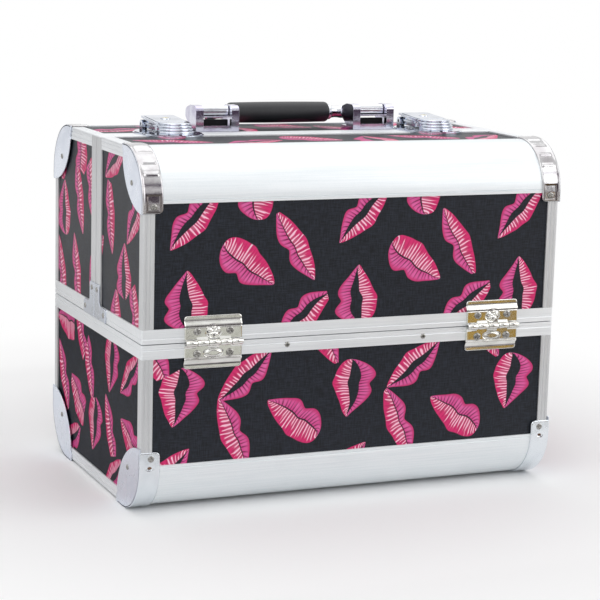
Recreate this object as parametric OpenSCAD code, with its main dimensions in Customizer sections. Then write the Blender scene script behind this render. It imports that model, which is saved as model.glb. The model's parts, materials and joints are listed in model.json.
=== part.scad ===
// Makeup train case: aluminium-framed box with two lid halves that swing
// outward on side hinges and carry four level cantilever trays.
// Millimetres. X runs left to right, Y front to back, Z up; the origin is
// at the middle of the underside.

/* [Case] */
// Overall width over the aluminium frame
case_w = 320; // [290:1:380]
// Depth over the aluminium frame, front to back
case_d = 208; // [196:1:250]
// Height of the closed case
case_h = 254; // [246:1:290]
// Height of the joint between the base and the lids
seam_z = 122; // [110:1:128]
// Outer radius of the lids' long curved edges
top_r = 36; // [26:1:40]
// Outer radius of the base's long curved edges
bottom_r = 36; // [26:1:44]
// Gap between the base and a closed lid
seam_gap = 0.6; // [0.4:0.1:1.2]
// Gap between the two closed lids
centre_gap = 0.8; // [0.6:0.1:1.6]

/* [Walls and frame] */
// Thickness of the aluminium sections
alu_t = 1.2; // [0.8:0.1:1.6]
// Thickness of the board panels
panel_t = 3.8; // [3:0.1:4.4]
// Thickness of the lining inside
lining_t = 1; // [0.6:0.1:1.2]
// Outer leg of the channels along the joint
rim_h = 10; // [9:0.5:14]
// Inner leg of the channels along the joint
rim_inner_h = 8; // [6:0.5:9]
// Corner post leg on the front or back
post_face_w = 8.5; // [7:0.5:14]
// Corner post leg on the side
post_side_w = 7; // [5:0.5:10]
// Width of the channel along the middle of each lid
strip_w = 11; // [9:0.5:14]
// Legs of the angle strips along the side edges
trim_w = 9; // [7:0.5:12]
// Extra radius of a board's corner under the curved section
board_round = 1; // [0.5:0.1:2]
// Distance of a channel's rivets from the middle
rim_rivet_x = 53; // [44:1:62]

/* [Corner caps and braces] */
// Thickness of the pressed caps and braces
cap_t = 1; // [0.6:0.1:1.4]
// Gap between a cap's curved band and the frame
cap_fit = 0.05; // [0.03:0.01:0.1]
// Width of a cap's band along the curved edge
cap_band_w = 14; // [12:0.5:20]
// Straight part of an upper cap's band past each end of the curve
lid_cap_leg = 6.5; // [5:0.5:10]
// Straight part of a lower cap's band past each end of the curve
base_cap_leg = 10; // [6:0.5:12]
// Reach of an upper cap's side plate from the case corner
lid_cap_r = 43; // [42:0.5:54]
// Reach of a lower cap's side plate from the case corner
base_cap_r = 48.5; // [47:0.5:56]
// Set-in of a cap's screws from the ends of its band
cap_screw_in = 3; // [2.5:0.1:4]
// Head radius of the cap screws
cap_screw_r = 2; // [1.6:0.1:2.4]
// Head radius of the side rivets
side_rivet_r = 1.5; // [1.2:0.1:1.8]
// Height of the ribs pressed into the upper caps
rib_h = 0.7; // [0.4:0.1:1]
// Width of one rib
rib_w = 2; // [1.4:0.1:2.6]
// Distance of the ribs' ends from the sides of the band
rib_in = 2; // [1:0.5:4]
// Number of ribs, one above the other
rib_count = 4; // [2:1:5]
// Angle of the uppermost rib round the curve, from its top
rib_from = 12; // [8:1:20]
// Angle of the lowest rib
rib_to = 58; // [45:1:70]
// Reach of a brace along the joint
brace_reach = 25; // [20:1:32]
// Height of a brace
brace_h = 30; // [24:1:40]

/* [Hinges] */
// Distance of a hinge's middle from the middle of the case
hinge_x = 108.5; // [90:0.5:112]
// Width of a hinge
hinge_w = 42; // [34:1:46]
// Height of a leaf from the pin's middle
leaf_h = 18.5; // [17:0.5:22]
// Height over the channel where a leaf starts to bend in to the board
leaf_bend = 1.7; // [1:0.1:2.5]
// Height over the channel where it lies on the board
leaf_flat = 4.7; // [3.5:0.1:5]
// Set-in of the leaf's screws from the sides of the hinge
hinge_screw_side = 9; // [7:0.5:11]
// Set-in of the screws from the channel's edge
hinge_screw_in = 2.5; // [2:0.1:3.5]
// Thickness of a leaf
leaf_t = 1.2; // [1:0.1:1.6]
// Outer radius of the knuckles
knuckle_r = 2.7; // [2.5:0.1:2.9]
// Radius of the hinge pin
hinge_pin_r = 1.25; // [1:0.05:1.5]
// Distance of the pin's middle from the outer face
hinge_out = 3; // [3:0.1:3.4]
// Radial clearance of a turning pin in its hole
pin_fit = 0.05; // [0.03:0.01:0.09]
// Gap between neighbouring knuckles
knuckle_gap = 0.3; // [0.2:0.05:0.5]
// Head radius of the screws
screw_head_r = 2.7; // [2.2:0.1:3]
// Head height of the screws
screw_head_h = 1.3; // [1:0.1:1.8]
// Shank radius of the screws
screw_r = 1.4; // [1:0.1:1.7]
// Head radius of the rivets
rivet_r = 1.9; // [1.5:0.1:2.4]
// Head height of the rivets
rivet_h = 0.7; // [0.5:0.1:1]

/* [Trays] */
// Height of a tray
tray_h = 28; // [22:1:29]
// Wall of a tray
tray_t = 2; // [1.4:0.1:2.4]
// Radius of a tray's rounded lower edges
tray_r = 14; // [13:0.5:14]
// Rise of the lower tray's pin over the lid hinge
lower_pin_rise = 36; // [35.5:0.5:37]
// Rise of the upper tray's pin over the lid hinge
upper_pin_rise = 67; // [66.5:0.5:68]
// Depth of the tray pin below the tray's upper edge
tray_pin_drop = 10; // [8:0.5:10]
// Gap between a tray and the case's inner front wall
tray_wall_gap = 4; // [4:0.5:6]
// Gap between a tray and the middle plane
tray_middle_gap = 2.5; // [1.5:0.5:5]
// Gap between a tray's end and the lining
tray_end_gap = 5.8; // [5.6:0.1:8]
// Thickness of a tray divider
divider_t = 1.6; // [1:0.1:2]
// Distance of a divider's edge below the tray's edge
divider_drop = 2; // [0:0.5:5]
// Number of dividers in a tray
divider_count = 3; // [1:1:5]
// Radius of the tray and arm pins
link_pin_r = 2; // [1.6:0.1:2.2]
// Collar radius of those pins
link_collar_r = 3.2; // [2.8:0.1:3.4]
// Head thickness of those pins
link_head_t = 1; // [0.6:0.1:1]
// Thickness of a swing arm
arm_t = 2; // [1.5:0.1:2.2]
// Half width of a swing arm
arm_r = 5; // [4.4:0.1:5.4]
// Set-in of the arm's lower pin from the lid hinge
arm_in = 25; // [24:0.5:26]
// Drop of the arm's lower pin from the lid hinge
arm_drop = 6; // [6:0.5:7]

/* [Latches] */
// Gap between a latch's base plates and the handle's bracket
latch_gap = 2.5; // [2:0.5:8]
// Width of a latch's base plates
latch_plate_w = 44; // [38:1:46]
// Depth of the rear base plate
latch_plate_d = 33; // [32:1:36]
// Depth of the front base plate
strike_plate_d = 28; // [27:1:32]
// Thickness of the base plates
latch_plate_t = 1.5; // [1:0.1:1.8]
// Width of the hasp
hasp_w = 26; // [24:1:28]
// Height of the closed latch over the case
latch_h = 11.5; // [11.5:0.5:14]
// Width of the lugs that hold the hasp's pin
lug_w = 4; // [3:0.5:5]
// Set-in of the hasp's housing from the sides of its top plate
hasp_in = 2; // [1.5:0.5:3]
// Thickness of the hasp's top plate
hasp_t = 2; // [1.6:0.1:2.2]
// Reach of the hasp past the middle plane
hasp_reach = 8; // [6:0.5:8]
// Gap between the hasp and the strike
hasp_gap = 0.6; // [0.4:0.1:1]
// Distance of the hasp's pin behind the middle plane
hasp_pin_y = 27; // [26.5:0.5:28]
// Height of the hasp's pin over the case
hasp_pin_z = 5.2; // [5:0.1:5.5]
// Radius of the hasp's pin
hasp_pin_r = 1.2; // [1:0.1:1.4]
// Outer radius of the hasp's knuckles
hasp_knuckle_r = 3; // [2.6:0.1:3.2]
// Distance of the key cylinder behind the middle plane
key_y = 10; // [9:0.5:12]
// Radius of the key cylinder
key_r = 4; // [3.5:0.1:4.5]
// Height of the key cylinder over the hasp
key_rise = 0.8; // [0.4:0.1:1.4]
// Width of the locking bolt
bolt_w = 8; // [6:0.5:10]
// Thickness of the locking bolt
bolt_t = 2; // [1.6:0.1:2.2]
// Length of the locking bolt
bolt_len = 15; // [14:0.5:17]
// Travel of the locking bolt
bolt_travel = 12.5; // [12:0.5:13]
// Clearance around the bolt
bolt_fit = 0.15; // [0.1:0.05:0.3]

/* [Handle] */
// Outer distance between the two brackets' far ends
handle_span = 161; // [150:1:162]
// Width of a bracket
bracket_w = 34; // [30:1:38]
// Width of a bracket's cheek
cheek_w = 6; // [4:0.5:7]
// Height of a bracket over the lid
bracket_h = 19; // [18:0.5:22]
// Depth of a bracket
bracket_d = 23; // [20:1:26]
// Thickness of a bracket's foot
bracket_t = 2; // [1.5:0.1:2.4]
// Height of the window's lower edge
window_low = 4; // [3:0.5:5]
// Height of the window's upper edge
window_high = 9.2; // [8:0.1:9.2]
// Height of the bar over the window
window_bar = 0.6; // [0.4:0.1:1]
// Height of the handle's pivot over the lid
handle_pin_z = 14; // [14:0.5:16]
// Distance of the pivot from the bracket's front
handle_pin_y = 9; // [8:0.5:10]
// Radius of the handle's pivot pin
handle_pin_r = 2; // [1.5:0.1:2.5]
// Outer radius of the handle's barrels
barrel_r = 3.8; // [3.4:0.1:4]
// Set-back of the folded grip from the pivot
grip_back = 29; // [26:0.5:34]
// Drop of the folded grip from the pivot
grip_drop = 3.5; // [3:0.5:4]
// Radius of the grip
grip_r = 8; // [7:0.25:8.5]
// Length of the grip
grip_len = 76; // [70:1:86]
// Radius of the steel rod in the grip
rod_r = 3; // [2.4:0.1:3.4]
// Radius of the chrome ends beside the grip
neck_r = 5; // [4.4:0.1:5.6]
// Width of a handle arm
handle_arm_w = 7; // [6:0.5:9]
// Thickness of a handle arm
handle_arm_t = 5; // [4:0.5:5.5]
// Gap between the handle and its brackets
handle_gap = 0.4; // [0.3:0.1:0.6]

/* [Hidden] */
$fn = 64;
eps = 0.01;
wall_t = alu_t + panel_t;
lift = cap_fit + cap_t;
half_w = case_w / 2;
half_d = case_d / 2;
inner_w = half_w - wall_t;
inner_d = half_d - wall_t;
room_w = inner_w - lining_t;
channel_in = wall_t + alu_t;
lid_z = seam_z + seam_gap / 2;
base_z = seam_z - seam_gap / 2;
mid_y = centre_gap / 2;
hinge_y = half_d + hinge_out;
knuckle_count = 5;
channel_top = rim_h + seam_gap / 2;
hinge_screw_x = hinge_w / 2 - hinge_screw_side;
hinge_screw_z = channel_top - hinge_screw_in;
leaf_foot = knuckle_r + 0.6;
// swing gear, measured on the front half, Y negative
lower_pin_y = -hinge_y + lower_pin_rise;
lower_pin_z = seam_z + lower_pin_rise;
upper_pin_y = -hinge_y + upper_pin_rise;
upper_pin_z = seam_z + upper_pin_rise;
arm_y = -hinge_y + arm_in;
arm_z = seam_z - arm_drop;
arm_len = upper_pin_rise * sqrt(2);
tray_y0 = -inner_d + lining_t + tray_wall_gap;
tray_y1 = -tray_middle_gap;
tray_x = room_w - tray_end_gap;
collar_fit = 0.3;
arm_x1 = room_w - alu_t + lining_t - link_head_t - 0.6;
arm_x0 = arm_x1 - arm_t;
// latch
latch_x = handle_span / 2 + latch_gap + latch_plate_w / 2;
plate_top = case_h + latch_plate_t;
hasp_top = case_h + latch_h;
hasp_under = hasp_top - hasp_t;
block_z = plate_top + 0.7;
bolt_z = block_z + 0.8;
key_z = bolt_z + bolt_t + 2 * bolt_fit;
hasp_tail = hasp_knuckle_r - 0.6;
block_y0 = mid_y + 0.3;
block_y1 = hasp_pin_y - hasp_knuckle_r - 2;
bolt_y0 = block_y0 + 0.3;
pocket_depth = 5;
// handle
bracket_x1 = handle_span / 2;
bracket_x0 = bracket_x1 - bracket_w;
bracket_y = mid_y + strip_w + 0.6;
pivot_y = bracket_y + handle_pin_y;
pivot_z = case_h + handle_pin_z;
grip_y = pivot_y + grip_back;
grip_z = pivot_z - grip_drop;
barrel_x0 = bracket_x0 + cheek_w + handle_gap;
barrel_x1 = bracket_x1 - cheek_w - handle_gap;

// ---- helpers ----
// a flat (Y, Z) shape drawn out along X
module along_x(x0, x1) {
  translate([x0, 0, 0]) rotate([90, 0, 90]) linear_extrude(x1 - x0) children();
}
// a flat (X, Z) shape drawn out along Y
module along_y(y0, y1) {
  translate([0, y1, 0]) rotate([90, 0, 0]) linear_extrude(y1 - y0) children();
}
module both_sides() {
  children();
  mirror([1, 0, 0]) children();
}
module rear() mirror([0, 1, 0]) children();
module front_and_rear() {
  children();
  rear() children();
}
module span(x0, x1, y0, y1) translate([x0, y0]) square([x1 - x0, y1 - y0]);
module block(x0, x1, y0, y1, z0, z1) {
  translate([x0, y0, z0]) cube([x1 - x0, y1 - y0, z1 - z0]);
}
module rod_x(r, x0, x1, y, z) translate([x0, y, z]) rotate([0, 90, 0]) cylinder(r = r, h = x1 - x0);
// rectangle whose corner at (y0, z1) is round
module round_top(y0, y1, z0, z1, r) {
  span(y0 + r, y1, z0, z1);
  span(y0, y1, z0, z1 - r);
  translate([y0 + r, z1 - r]) circle(r);
}
module round_bottom(y0, y1, z0, z1, r) {
  span(y0 + r, y1, z0, z1);
  span(y0, y1, z0 + r, z1);
  translate([y0 + r, z0 + r]) circle(r);
}
// side outline of the front lid, set in from its outer faces
module lid_outline(inset, y1, z0, rounder = 0) {
  round_top(-half_d + inset, y1, z0, case_h - inset, top_r - inset + rounder);
}
// side outline of the front half of the base
module base_outline(inset, y1, z1, rounder = 0) {
  round_bottom(-half_d + inset, y1, lift + inset, z1, bottom_r - inset + rounder);
}

// ---- base ----
module base_floor() color("#2b2c30") {
  block(-inner_w, inner_w, -half_d + bottom_r, half_d - bottom_r, lift + alu_t, lift + wall_t);
}
module base_wall() {
  block(-inner_w, inner_w, -half_d + alu_t, -inner_d, lift + bottom_r, base_z - alu_t);
}
module base_front_panel() color("#2b2c33") base_wall();
module base_rear_panel() color("#2b2c33") rear() base_wall();
module base_side_panels() color("#2b2c33") both_sides() along_x(inner_w, half_w - alu_t) {
  base_outline(alu_t, eps, base_z - alu_t, board_round);
  mirror([1, 0]) base_outline(alu_t, eps, base_z - alu_t, board_round);
}
module base_curves() color("#d9dbde") front_and_rear() {
  along_x(-half_w, half_w) intersection() {
    difference() {
      base_outline(0, 0, base_z);
      base_outline(alu_t, 0, base_z);
    }
    span(-half_d, -half_d + bottom_r, lift, lift + bottom_r);
  }
  block(-inner_w, inner_w, -half_d, -inner_d, lift + bottom_r - alu_t, lift + bottom_r);
  block(-inner_w, inner_w, -half_d + bottom_r - alu_t, -half_d + bottom_r, lift, lift + wall_t);
}
module frame_ring(inset0, inset1) difference() {
  span(-half_w + inset0, half_w - inset0, -half_d + inset0, half_d - inset0);
  span(-half_w + inset1, half_w - inset1, -half_d + inset1, half_d - inset1);
}
module base_rim() color("#d9dbde") {
  translate([0, 0, base_z - rim_h]) linear_extrude(rim_h) frame_ring(0, alu_t);
  translate([0, 0, base_z - alu_t]) linear_extrude(alu_t) frame_ring(0, channel_in);
  translate([0, 0, base_z - rim_inner_h]) linear_extrude(rim_inner_h) frame_ring(wall_t, channel_in);
}
module post(z0, z1) translate([0, 0, z0]) linear_extrude(z1 - z0) {
  span(-half_w, -half_w + post_face_w, -half_d, -half_d + alu_t);
  span(-half_w, -half_w + alu_t, -half_d, -half_d + post_side_w);
}
module base_posts() color("#d9dbde") {
  front_and_rear() both_sides() post(lift + bottom_r, base_z - rim_h);
}
module base_side_trims() color("#d9dbde") both_sides() {
  run = half_d - bottom_r;
  block(-half_w, -half_w + alu_t, -run, run, lift, lift + trim_w);
  block(-half_w, -half_w + trim_w, -run, run, lift, lift + alu_t);
}
// a cap's side plate: the part of the side outline near the case corner
module cap_plate(z_corner, r) intersection() {
  children();
  translate([-half_d, z_corner]) circle(r);
}
module base_cap() {
  out = cap_fit + cap_t;
  reach = bottom_r + base_cap_leg;
  along_x(-half_w - out, -half_w + cap_band_w) intersection() {
    difference() {
      base_outline(-out, 0, base_z);
      base_outline(-cap_fit, eps, base_z + eps);
    }
    span(-half_d - out, -half_d + reach, lift - out, lift + reach);
  }
  along_x(-half_w - out, -half_w - cap_fit) cap_plate(lift, base_cap_r) base_outline(-out, 0, base_z);
}
module base_corner_caps() color("#e4e8f2") front_and_rear() both_sides() base_cap();
module base_tub(inset) {
  base_outline(inset, eps, base_z - rim_inner_h);
  mirror([1, 0]) base_outline(inset, eps, base_z - rim_inner_h);
}
module base_liner() color("#1d1d20") difference() {
  along_x(-inner_w, inner_w) base_tub(wall_t);
  translate([0, 0, eps]) along_x(-room_w, room_w) base_tub(wall_t + lining_t);
}

// ---- hinges ----
// One leaf above its pin, on the front face; part is 0 for the base's knuckles
// and 1 for the lid's.
module leaf(part) {
  seg = hinge_w / knuckle_count;
  difference() {
    union() {
      along_x(-hinge_w / 2, hinge_w / 2) polygon([
        [-half_d, leaf_foot], [-half_d, channel_top], [-half_d + alu_t, channel_top],
        [-half_d + alu_t, leaf_h], [-half_d + alu_t - leaf_t, leaf_h],
        [-half_d + alu_t - leaf_t, channel_top + leaf_flat],
        [-half_d - leaf_t, channel_top + leaf_bend], [-half_d - leaf_t, leaf_foot]]);
      for (i = [0 : knuckle_count - 1]) if (i % 2 == part) {
        x0 = -hinge_w / 2 + i * seg + knuckle_gap / 2;
        x1 = x0 + seg - knuckle_gap;
        block(x0, x1, -half_d - leaf_t, -half_d, 0, knuckle_r + 1);
        rod_x(knuckle_r, x0, x1, -hinge_y, 0);
      }
    }
    rod_x(hinge_pin_r + pin_fit, -hinge_w, hinge_w, -hinge_y, 0);
    for (s = [-1, 1]) translate([s * hinge_screw_x, -half_d - leaf_t - eps, hinge_screw_z])
      rotate([-90, 0, 0]) cylinder(r = screw_r + pin_fit, h = leaf_t + 2 * eps);
  }
}
module hinge_base_leaves() color("#dfe2e6") {
  front_and_rear() for (s = [-1, 1]) translate([s * hinge_x, 0, seam_z]) mirror([0, 0, 1]) leaf(0);
}
module lid_leaves() for (s = [-1, 1]) translate([s * hinge_x, 0, seam_z]) leaf(1);
module hinge_screw() {
  translate([0, -half_d - leaf_t, 0]) rotate([90, 0, 0]) cylinder(r = screw_head_r, h = screw_head_h);
  translate([0, -half_d - leaf_t, 0]) rotate([-90, 0, 0]) cylinder(r = screw_r, h = leaf_t);
}
module hinge_screws(up) for (s = [-1, 1], t = [-1, 1])
  translate([s * hinge_x + t * hinge_screw_x, 0, seam_z + up * hinge_screw_z]) hinge_screw();
module cap_screw(z) translate([-half_w + cap_band_w / 2, -half_d - lift, z]) rotate([90, 0, 0])
  cylinder(r = cap_screw_r, h = rivet_h);
module side_rivet(y, z) translate([-half_w - lift, y, z]) rotate([0, -90, 0])
  cylinder(r = side_rivet_r, h = rivet_h);
module base_screws() color("#cfd2d6") front_and_rear() {
  hinge_screws(-1);
  both_sides() cap_screw(lift + bottom_r + base_cap_leg - cap_screw_in);
}
module rim_rivet(z) for (s = [-1, 1]) translate([s * rim_rivet_x, -half_d, z]) rotate([90, 0, 0])
  cylinder(r = rivet_r, h = rivet_h);
module base_rivets() color("#cfd2d6") front_and_rear() {
  rim_rivet(base_z - rim_h / 2);
  both_sides() side_rivet(-half_d + base_cap_r / 2, lift + base_cap_r / 2);
}
module arm_pivot() {
  rod_x(link_pin_r, arm_x0 - collar_fit, half_w - channel_in, arm_y, arm_z);
  rod_x(link_collar_r, arm_x1 + collar_fit, half_w - channel_in, arm_y, arm_z);
  rod_x(link_collar_r, arm_x0 - collar_fit - link_head_t, arm_x0 - collar_fit, arm_y, arm_z);
}
module base_pins() color("#c2c5ca") front_and_rear() {
  for (s = [-1, 1]) rod_x(hinge_pin_r, s * hinge_x - hinge_w / 2, s * hinge_x + hinge_w / 2, -hinge_y, seam_z);
  both_sides() arm_pivot();
}

// ---- one lid half, drawn as the front one ----
module lid_face() {
  block(-inner_w, inner_w, -half_d + alu_t, -inner_d, lid_z + alu_t, case_h - top_r);
}
module lid_top() {
  block(-inner_w, inner_w, -half_d + top_r, -mid_y - alu_t, case_h - wall_t, case_h - alu_t);
}
module lid_sides() both_sides() along_x(inner_w, half_w - alu_t) {
  lid_outline(alu_t, -mid_y - alu_t, lid_z + alu_t, board_round);
}
module lid_curve() {
  along_x(-half_w, half_w) intersection() {
    difference() {
      lid_outline(0, 0, lid_z);
      lid_outline(alu_t, 0, lid_z);
    }
    span(-half_d, -half_d + top_r, case_h - top_r, case_h);
  }
  block(-inner_w, inner_w, -half_d, -inner_d, case_h - top_r, case_h - top_r + alu_t);
  block(-inner_w, inner_w, -half_d + top_r - alu_t, -half_d + top_r, case_h - wall_t, case_h);
}
module lid_ring(inset0, inset1) difference() {
  span(-half_w + inset0, half_w - inset0, -half_d + inset0, -mid_y);
  span(-half_w + inset1, half_w - inset1, -half_d + inset1, 0);
}
module lid_rim() translate([0, 0, lid_z]) {
  linear_extrude(rim_h) lid_ring(0, alu_t);
  linear_extrude(alu_t) lid_ring(0, channel_in);
  linear_extrude(rim_inner_h) lid_ring(wall_t, channel_in);
}
module arch_ring(inset0, inset1) difference() {
  span(-half_w + inset0, half_w - inset0, lid_z + rim_h, case_h - inset0);
  span(-half_w + inset1, half_w - inset1, lid_z, case_h - inset1);
}
module lid_centre_strip() {
  along_y(-mid_y - strip_w, -mid_y) arch_ring(0, alu_t);
  along_y(-mid_y - alu_t, -mid_y) arch_ring(0, channel_in);
  along_y(-mid_y - rim_inner_h, -mid_y) arch_ring(wall_t, channel_in);
}
module lid_posts() both_sides() post(lid_z + rim_h, case_h - top_r);
module lid_trims() both_sides() {
  y0 = -half_d + top_r;
  y1 = -mid_y - strip_w;
  block(-half_w, -half_w + alu_t, y0, y1, case_h - trim_w, case_h);
  block(-half_w, -half_w + trim_w, y0, y1, case_h - alu_t, case_h);
}
module lid_cap() {
  out = cap_fit + cap_t;
  reach = top_r + lid_cap_leg;
  rib_turn = (rib_to - rib_from) / (rib_count - 1);
  along_x(-half_w - out, -half_w + cap_band_w) intersection() {
    difference() {
      lid_outline(-out, 0, lid_z);
      lid_outline(-cap_fit, eps, lid_z - eps);
    }
    span(-half_d - out, -half_d + reach, case_h - reach, case_h + out);
  }
  for (i = [0 : rib_count - 1])
    translate([0, -half_d + top_r, case_h - top_r]) rotate([rib_from + i * rib_turn, 0, 0])
      block(-half_w + rib_in, -half_w + cap_band_w - rib_in, -rib_w / 2, rib_w / 2,
        top_r + cap_fit + cap_t / 2, top_r + out + rib_h);
  along_x(-half_w - out, -half_w - cap_fit) cap_plate(case_h, lid_cap_r) lid_outline(-out, 0, lid_z);
}
module lid_caps() both_sides() lid_cap();
module lid_braces() both_sides() translate([-half_w - cap_t, 0, lid_z]) {
  block(0, cap_t, -mid_y - strip_w, -mid_y, 0, brace_h);
  block(0, cap_t, -mid_y - brace_reach, -mid_y, 0, rim_h);
}
module lid_room(inset) lid_outline(inset, -mid_y - rim_inner_h, lid_z + rim_inner_h);
module lid_lining() difference() {
  along_x(-inner_w, inner_w) lid_room(wall_t);
  translate([0, eps, -eps]) along_x(-room_w, room_w) lid_room(wall_t + lining_t);
  block(-inner_w + lining_t, inner_w - lining_t, -mid_y - rim_inner_h - lining_t, 0, lid_z, case_h - wall_t - lining_t);
  for (p = [[lower_pin_y, lower_pin_z], [upper_pin_y, upper_pin_z]])
    rod_x(link_collar_r + pin_fit, -half_w, half_w, p[0], p[1]);
}
module lid_screws() {
  hinge_screws(1);
  both_sides() cap_screw(case_h - top_r - lid_cap_leg + cap_screw_in);
  both_sides() {
    side_rivet(-half_d + lid_cap_r / 2, case_h - lid_cap_r / 2);
    side_rivet(-mid_y - strip_w / 2, lid_z + brace_h - 4);
    side_rivet(-mid_y - brace_reach + 4, lid_z + rim_h / 2);
  }
}
// pins on the lid's side walls that carry the trays
module lid_tray_pins() both_sides() for (p = [[lower_pin_y, lower_pin_z], [upper_pin_y, upper_pin_z]]) {
  rod_x(link_collar_r, tray_x + collar_fit, inner_w, p[0], p[1]);
  rod_x(link_pin_r, tray_x - tray_t, inner_w, p[0], p[1]);
}

// ---- latches ----
// leaf-shaped plate from the middle plane to depth d
module leaf_plate(d, w) {
  r = (w * w / 4 + d * d) / (2 * d);
  intersection() {
    translate([0, -mid_y - d + r]) circle(r = r, $fn = 96);
    span(-w / 2, w / 2, -mid_y - d, -mid_y);
  }
}
module strike() {
  y1 = -hasp_reach - hasp_gap;
  y0 = -mid_y - strike_plate_d + 5;
  translate([0, 0, case_h]) linear_extrude(latch_plate_t) leaf_plate(strike_plate_d, latch_plate_w);
  difference() {
    intersection() {
      block(-hasp_w / 2, hasp_w / 2, y0, y1, plate_top, hasp_top);
      translate([0, y1, plate_top]) cylinder(r = y1 - y0, h = latch_h);
    }
    block(-bolt_w / 2 - bolt_fit, bolt_w / 2 + bolt_fit, y1 - pocket_depth, 0,
      bolt_z - bolt_fit, bolt_z + bolt_t + bolt_fit);
  }
}
module latch_strikes() color("#dfe2e6") for (s = [-1, 1]) translate([s * latch_x, 0, 0]) strike();
module latch_base() {
  translate([0, 0, case_h]) linear_extrude(latch_plate_t) mirror([0, 1]) leaf_plate(latch_plate_d, latch_plate_w);
  difference() {
    for (s = [-1, 1]) translate([s * (hasp_w - lug_w) / 2, 0, 0]) {
      rod_x(hasp_knuckle_r, -lug_w / 2, lug_w / 2, hasp_pin_y, case_h + hasp_pin_z);
      block(-lug_w / 2, lug_w / 2, hasp_pin_y - hasp_knuckle_r, hasp_pin_y + hasp_knuckle_r, plate_top,
        case_h + hasp_pin_z);
    }
    rod_x(hasp_pin_r, -hasp_w, hasp_w, hasp_pin_y, case_h + hasp_pin_z);
  }
}
module latch_bases() color("#dfe2e6") for (s = [-1, 1]) translate([s * latch_x, 0, 0]) latch_base();
module hasp() {
  w = hasp_w / 2;
  barrel = w - lug_w - hasp_gap / 2;
  housing = w - hasp_in;
  difference() {
    union() {
      block(-w, w, -hasp_reach, block_y1, hasp_under, hasp_top);
      block(-housing, housing, block_y0, block_y1, block_z, hasp_top);
      rod_x(hasp_knuckle_r, -barrel, barrel, hasp_pin_y, case_h + hasp_pin_z);
      block(-barrel, barrel, block_y1, hasp_pin_y + hasp_tail, case_h + hasp_pin_z, hasp_top);
    }
    rod_x(hasp_pin_r + pin_fit, -hasp_w, hasp_w, hasp_pin_y, case_h + hasp_pin_z);
    block(-bolt_w / 2 - bolt_fit, bolt_w / 2 + bolt_fit, -hasp_reach, bolt_y0 + bolt_len + 0.4,
      bolt_z - bolt_fit, bolt_z + bolt_t + bolt_fit);
    translate([0, key_y, key_z - bolt_fit]) cylinder(r = key_r + pin_fit, h = latch_h);
  }
}
module key_cylinder() difference() {
  translate([0, key_y, key_z]) cylinder(r = key_r, h = hasp_top + key_rise - key_z);
  block(-0.6, 0.6, key_y - key_r * 0.6, key_y + key_r * 0.6, hasp_top - 1.5, hasp_top + key_rise + 1);
}
module bolt() block(-bolt_w / 2, bolt_w / 2, bolt_y0, bolt_y0 + bolt_len, bolt_z, bolt_z + bolt_t);
module at_latch(s) translate([s * latch_x, 0, 0]) children();

// ---- handle ----
module bracket() {
  y1 = bracket_y + bracket_d;
  top = case_h + bracket_h;
  round_r = handle_pin_y;
  difference() {
    union() {
      block(bracket_x0, bracket_x1, bracket_y, y1, case_h, case_h + bracket_t);
      block(bracket_x0, bracket_x1, bracket_y, bracket_y + bracket_t, case_h,
        case_h + window_high + window_bar);
      for (x = [bracket_x0, bracket_x1 - cheek_w]) along_x(x, x + cheek_w) {
        round_top(bracket_y, pivot_y, case_h, top, round_r / 2);
        mirror([1, 0]) round_top(-y1, -pivot_y + eps, case_h, top, round_r);
      }
    }
    block(bracket_x0 + cheek_w, bracket_x1 - cheek_w, bracket_y - 1, bracket_y + bracket_t + 1,
      case_h + window_low, case_h + window_high);
    rod_x(handle_pin_r, bracket_x0 + 1, bracket_x1 - 1, pivot_y, pivot_z);
  }
}
module handle_brackets() color("#dfe2e6") both_sides() bracket();
module rear_lid_pins() color("#c2c5ca") {
  both_sides() rod_x(handle_pin_r, bracket_x0 + 1, bracket_x1 - 1, pivot_y, pivot_z);
  for (s = [-1, 1]) at_latch(s)
    rod_x(hasp_pin_r, -hasp_w / 2, hasp_w / 2, hasp_pin_y, case_h + hasp_pin_z);
}
module handle_bail() color("#dfe2e6") {
  turn = atan2(grip_drop, grip_back);
  reach = sqrt(grip_drop * grip_drop + grip_back * grip_back);
  neck_x = barrel_x0 + handle_arm_w;
  both_sides() difference() {
    union() {
      rod_x(barrel_r, barrel_x0, barrel_x1, pivot_y, pivot_z);
      rod_x(neck_r, grip_len / 2, neck_x, grip_y, grip_z);
      translate([0, pivot_y, pivot_z]) rotate([-turn, 0, 0])
        block(barrel_x0, neck_x, 0, reach, -handle_arm_t / 2, handle_arm_t / 2);
    }
    rod_x(handle_pin_r + pin_fit, barrel_x0 - 1, barrel_x1 + 1, pivot_y, pivot_z);
  }
  rod_x(rod_r, -grip_len / 2 - 1, grip_len / 2 + 1, grip_y, grip_z);
}
module handle_grip() color("#242428") translate([-grip_len / 2, grip_y, grip_z]) rotate([0, 90, 0])
  rotate_extrude() {
    span(rod_r + pin_fit, grip_r, 2, grip_len - 2);
    span(rod_r + pin_fit, grip_r - 1.5, 0, grip_len);
  }

// ---- trays ----
module tray_section(inset, z1) {
  y0 = tray_y0 + inset;
  y1 = tray_y1 - inset;
  z0 = -tray_h + tray_pin_drop + inset;
  r = tray_r - inset;
  round_bottom(y0, (y0 + y1) / 2 + eps, z0, z1, r);
  mirror([1, 0]) round_bottom(-y1, -(y0 + y1) / 2 + eps, z0, z1, r);
}
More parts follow.
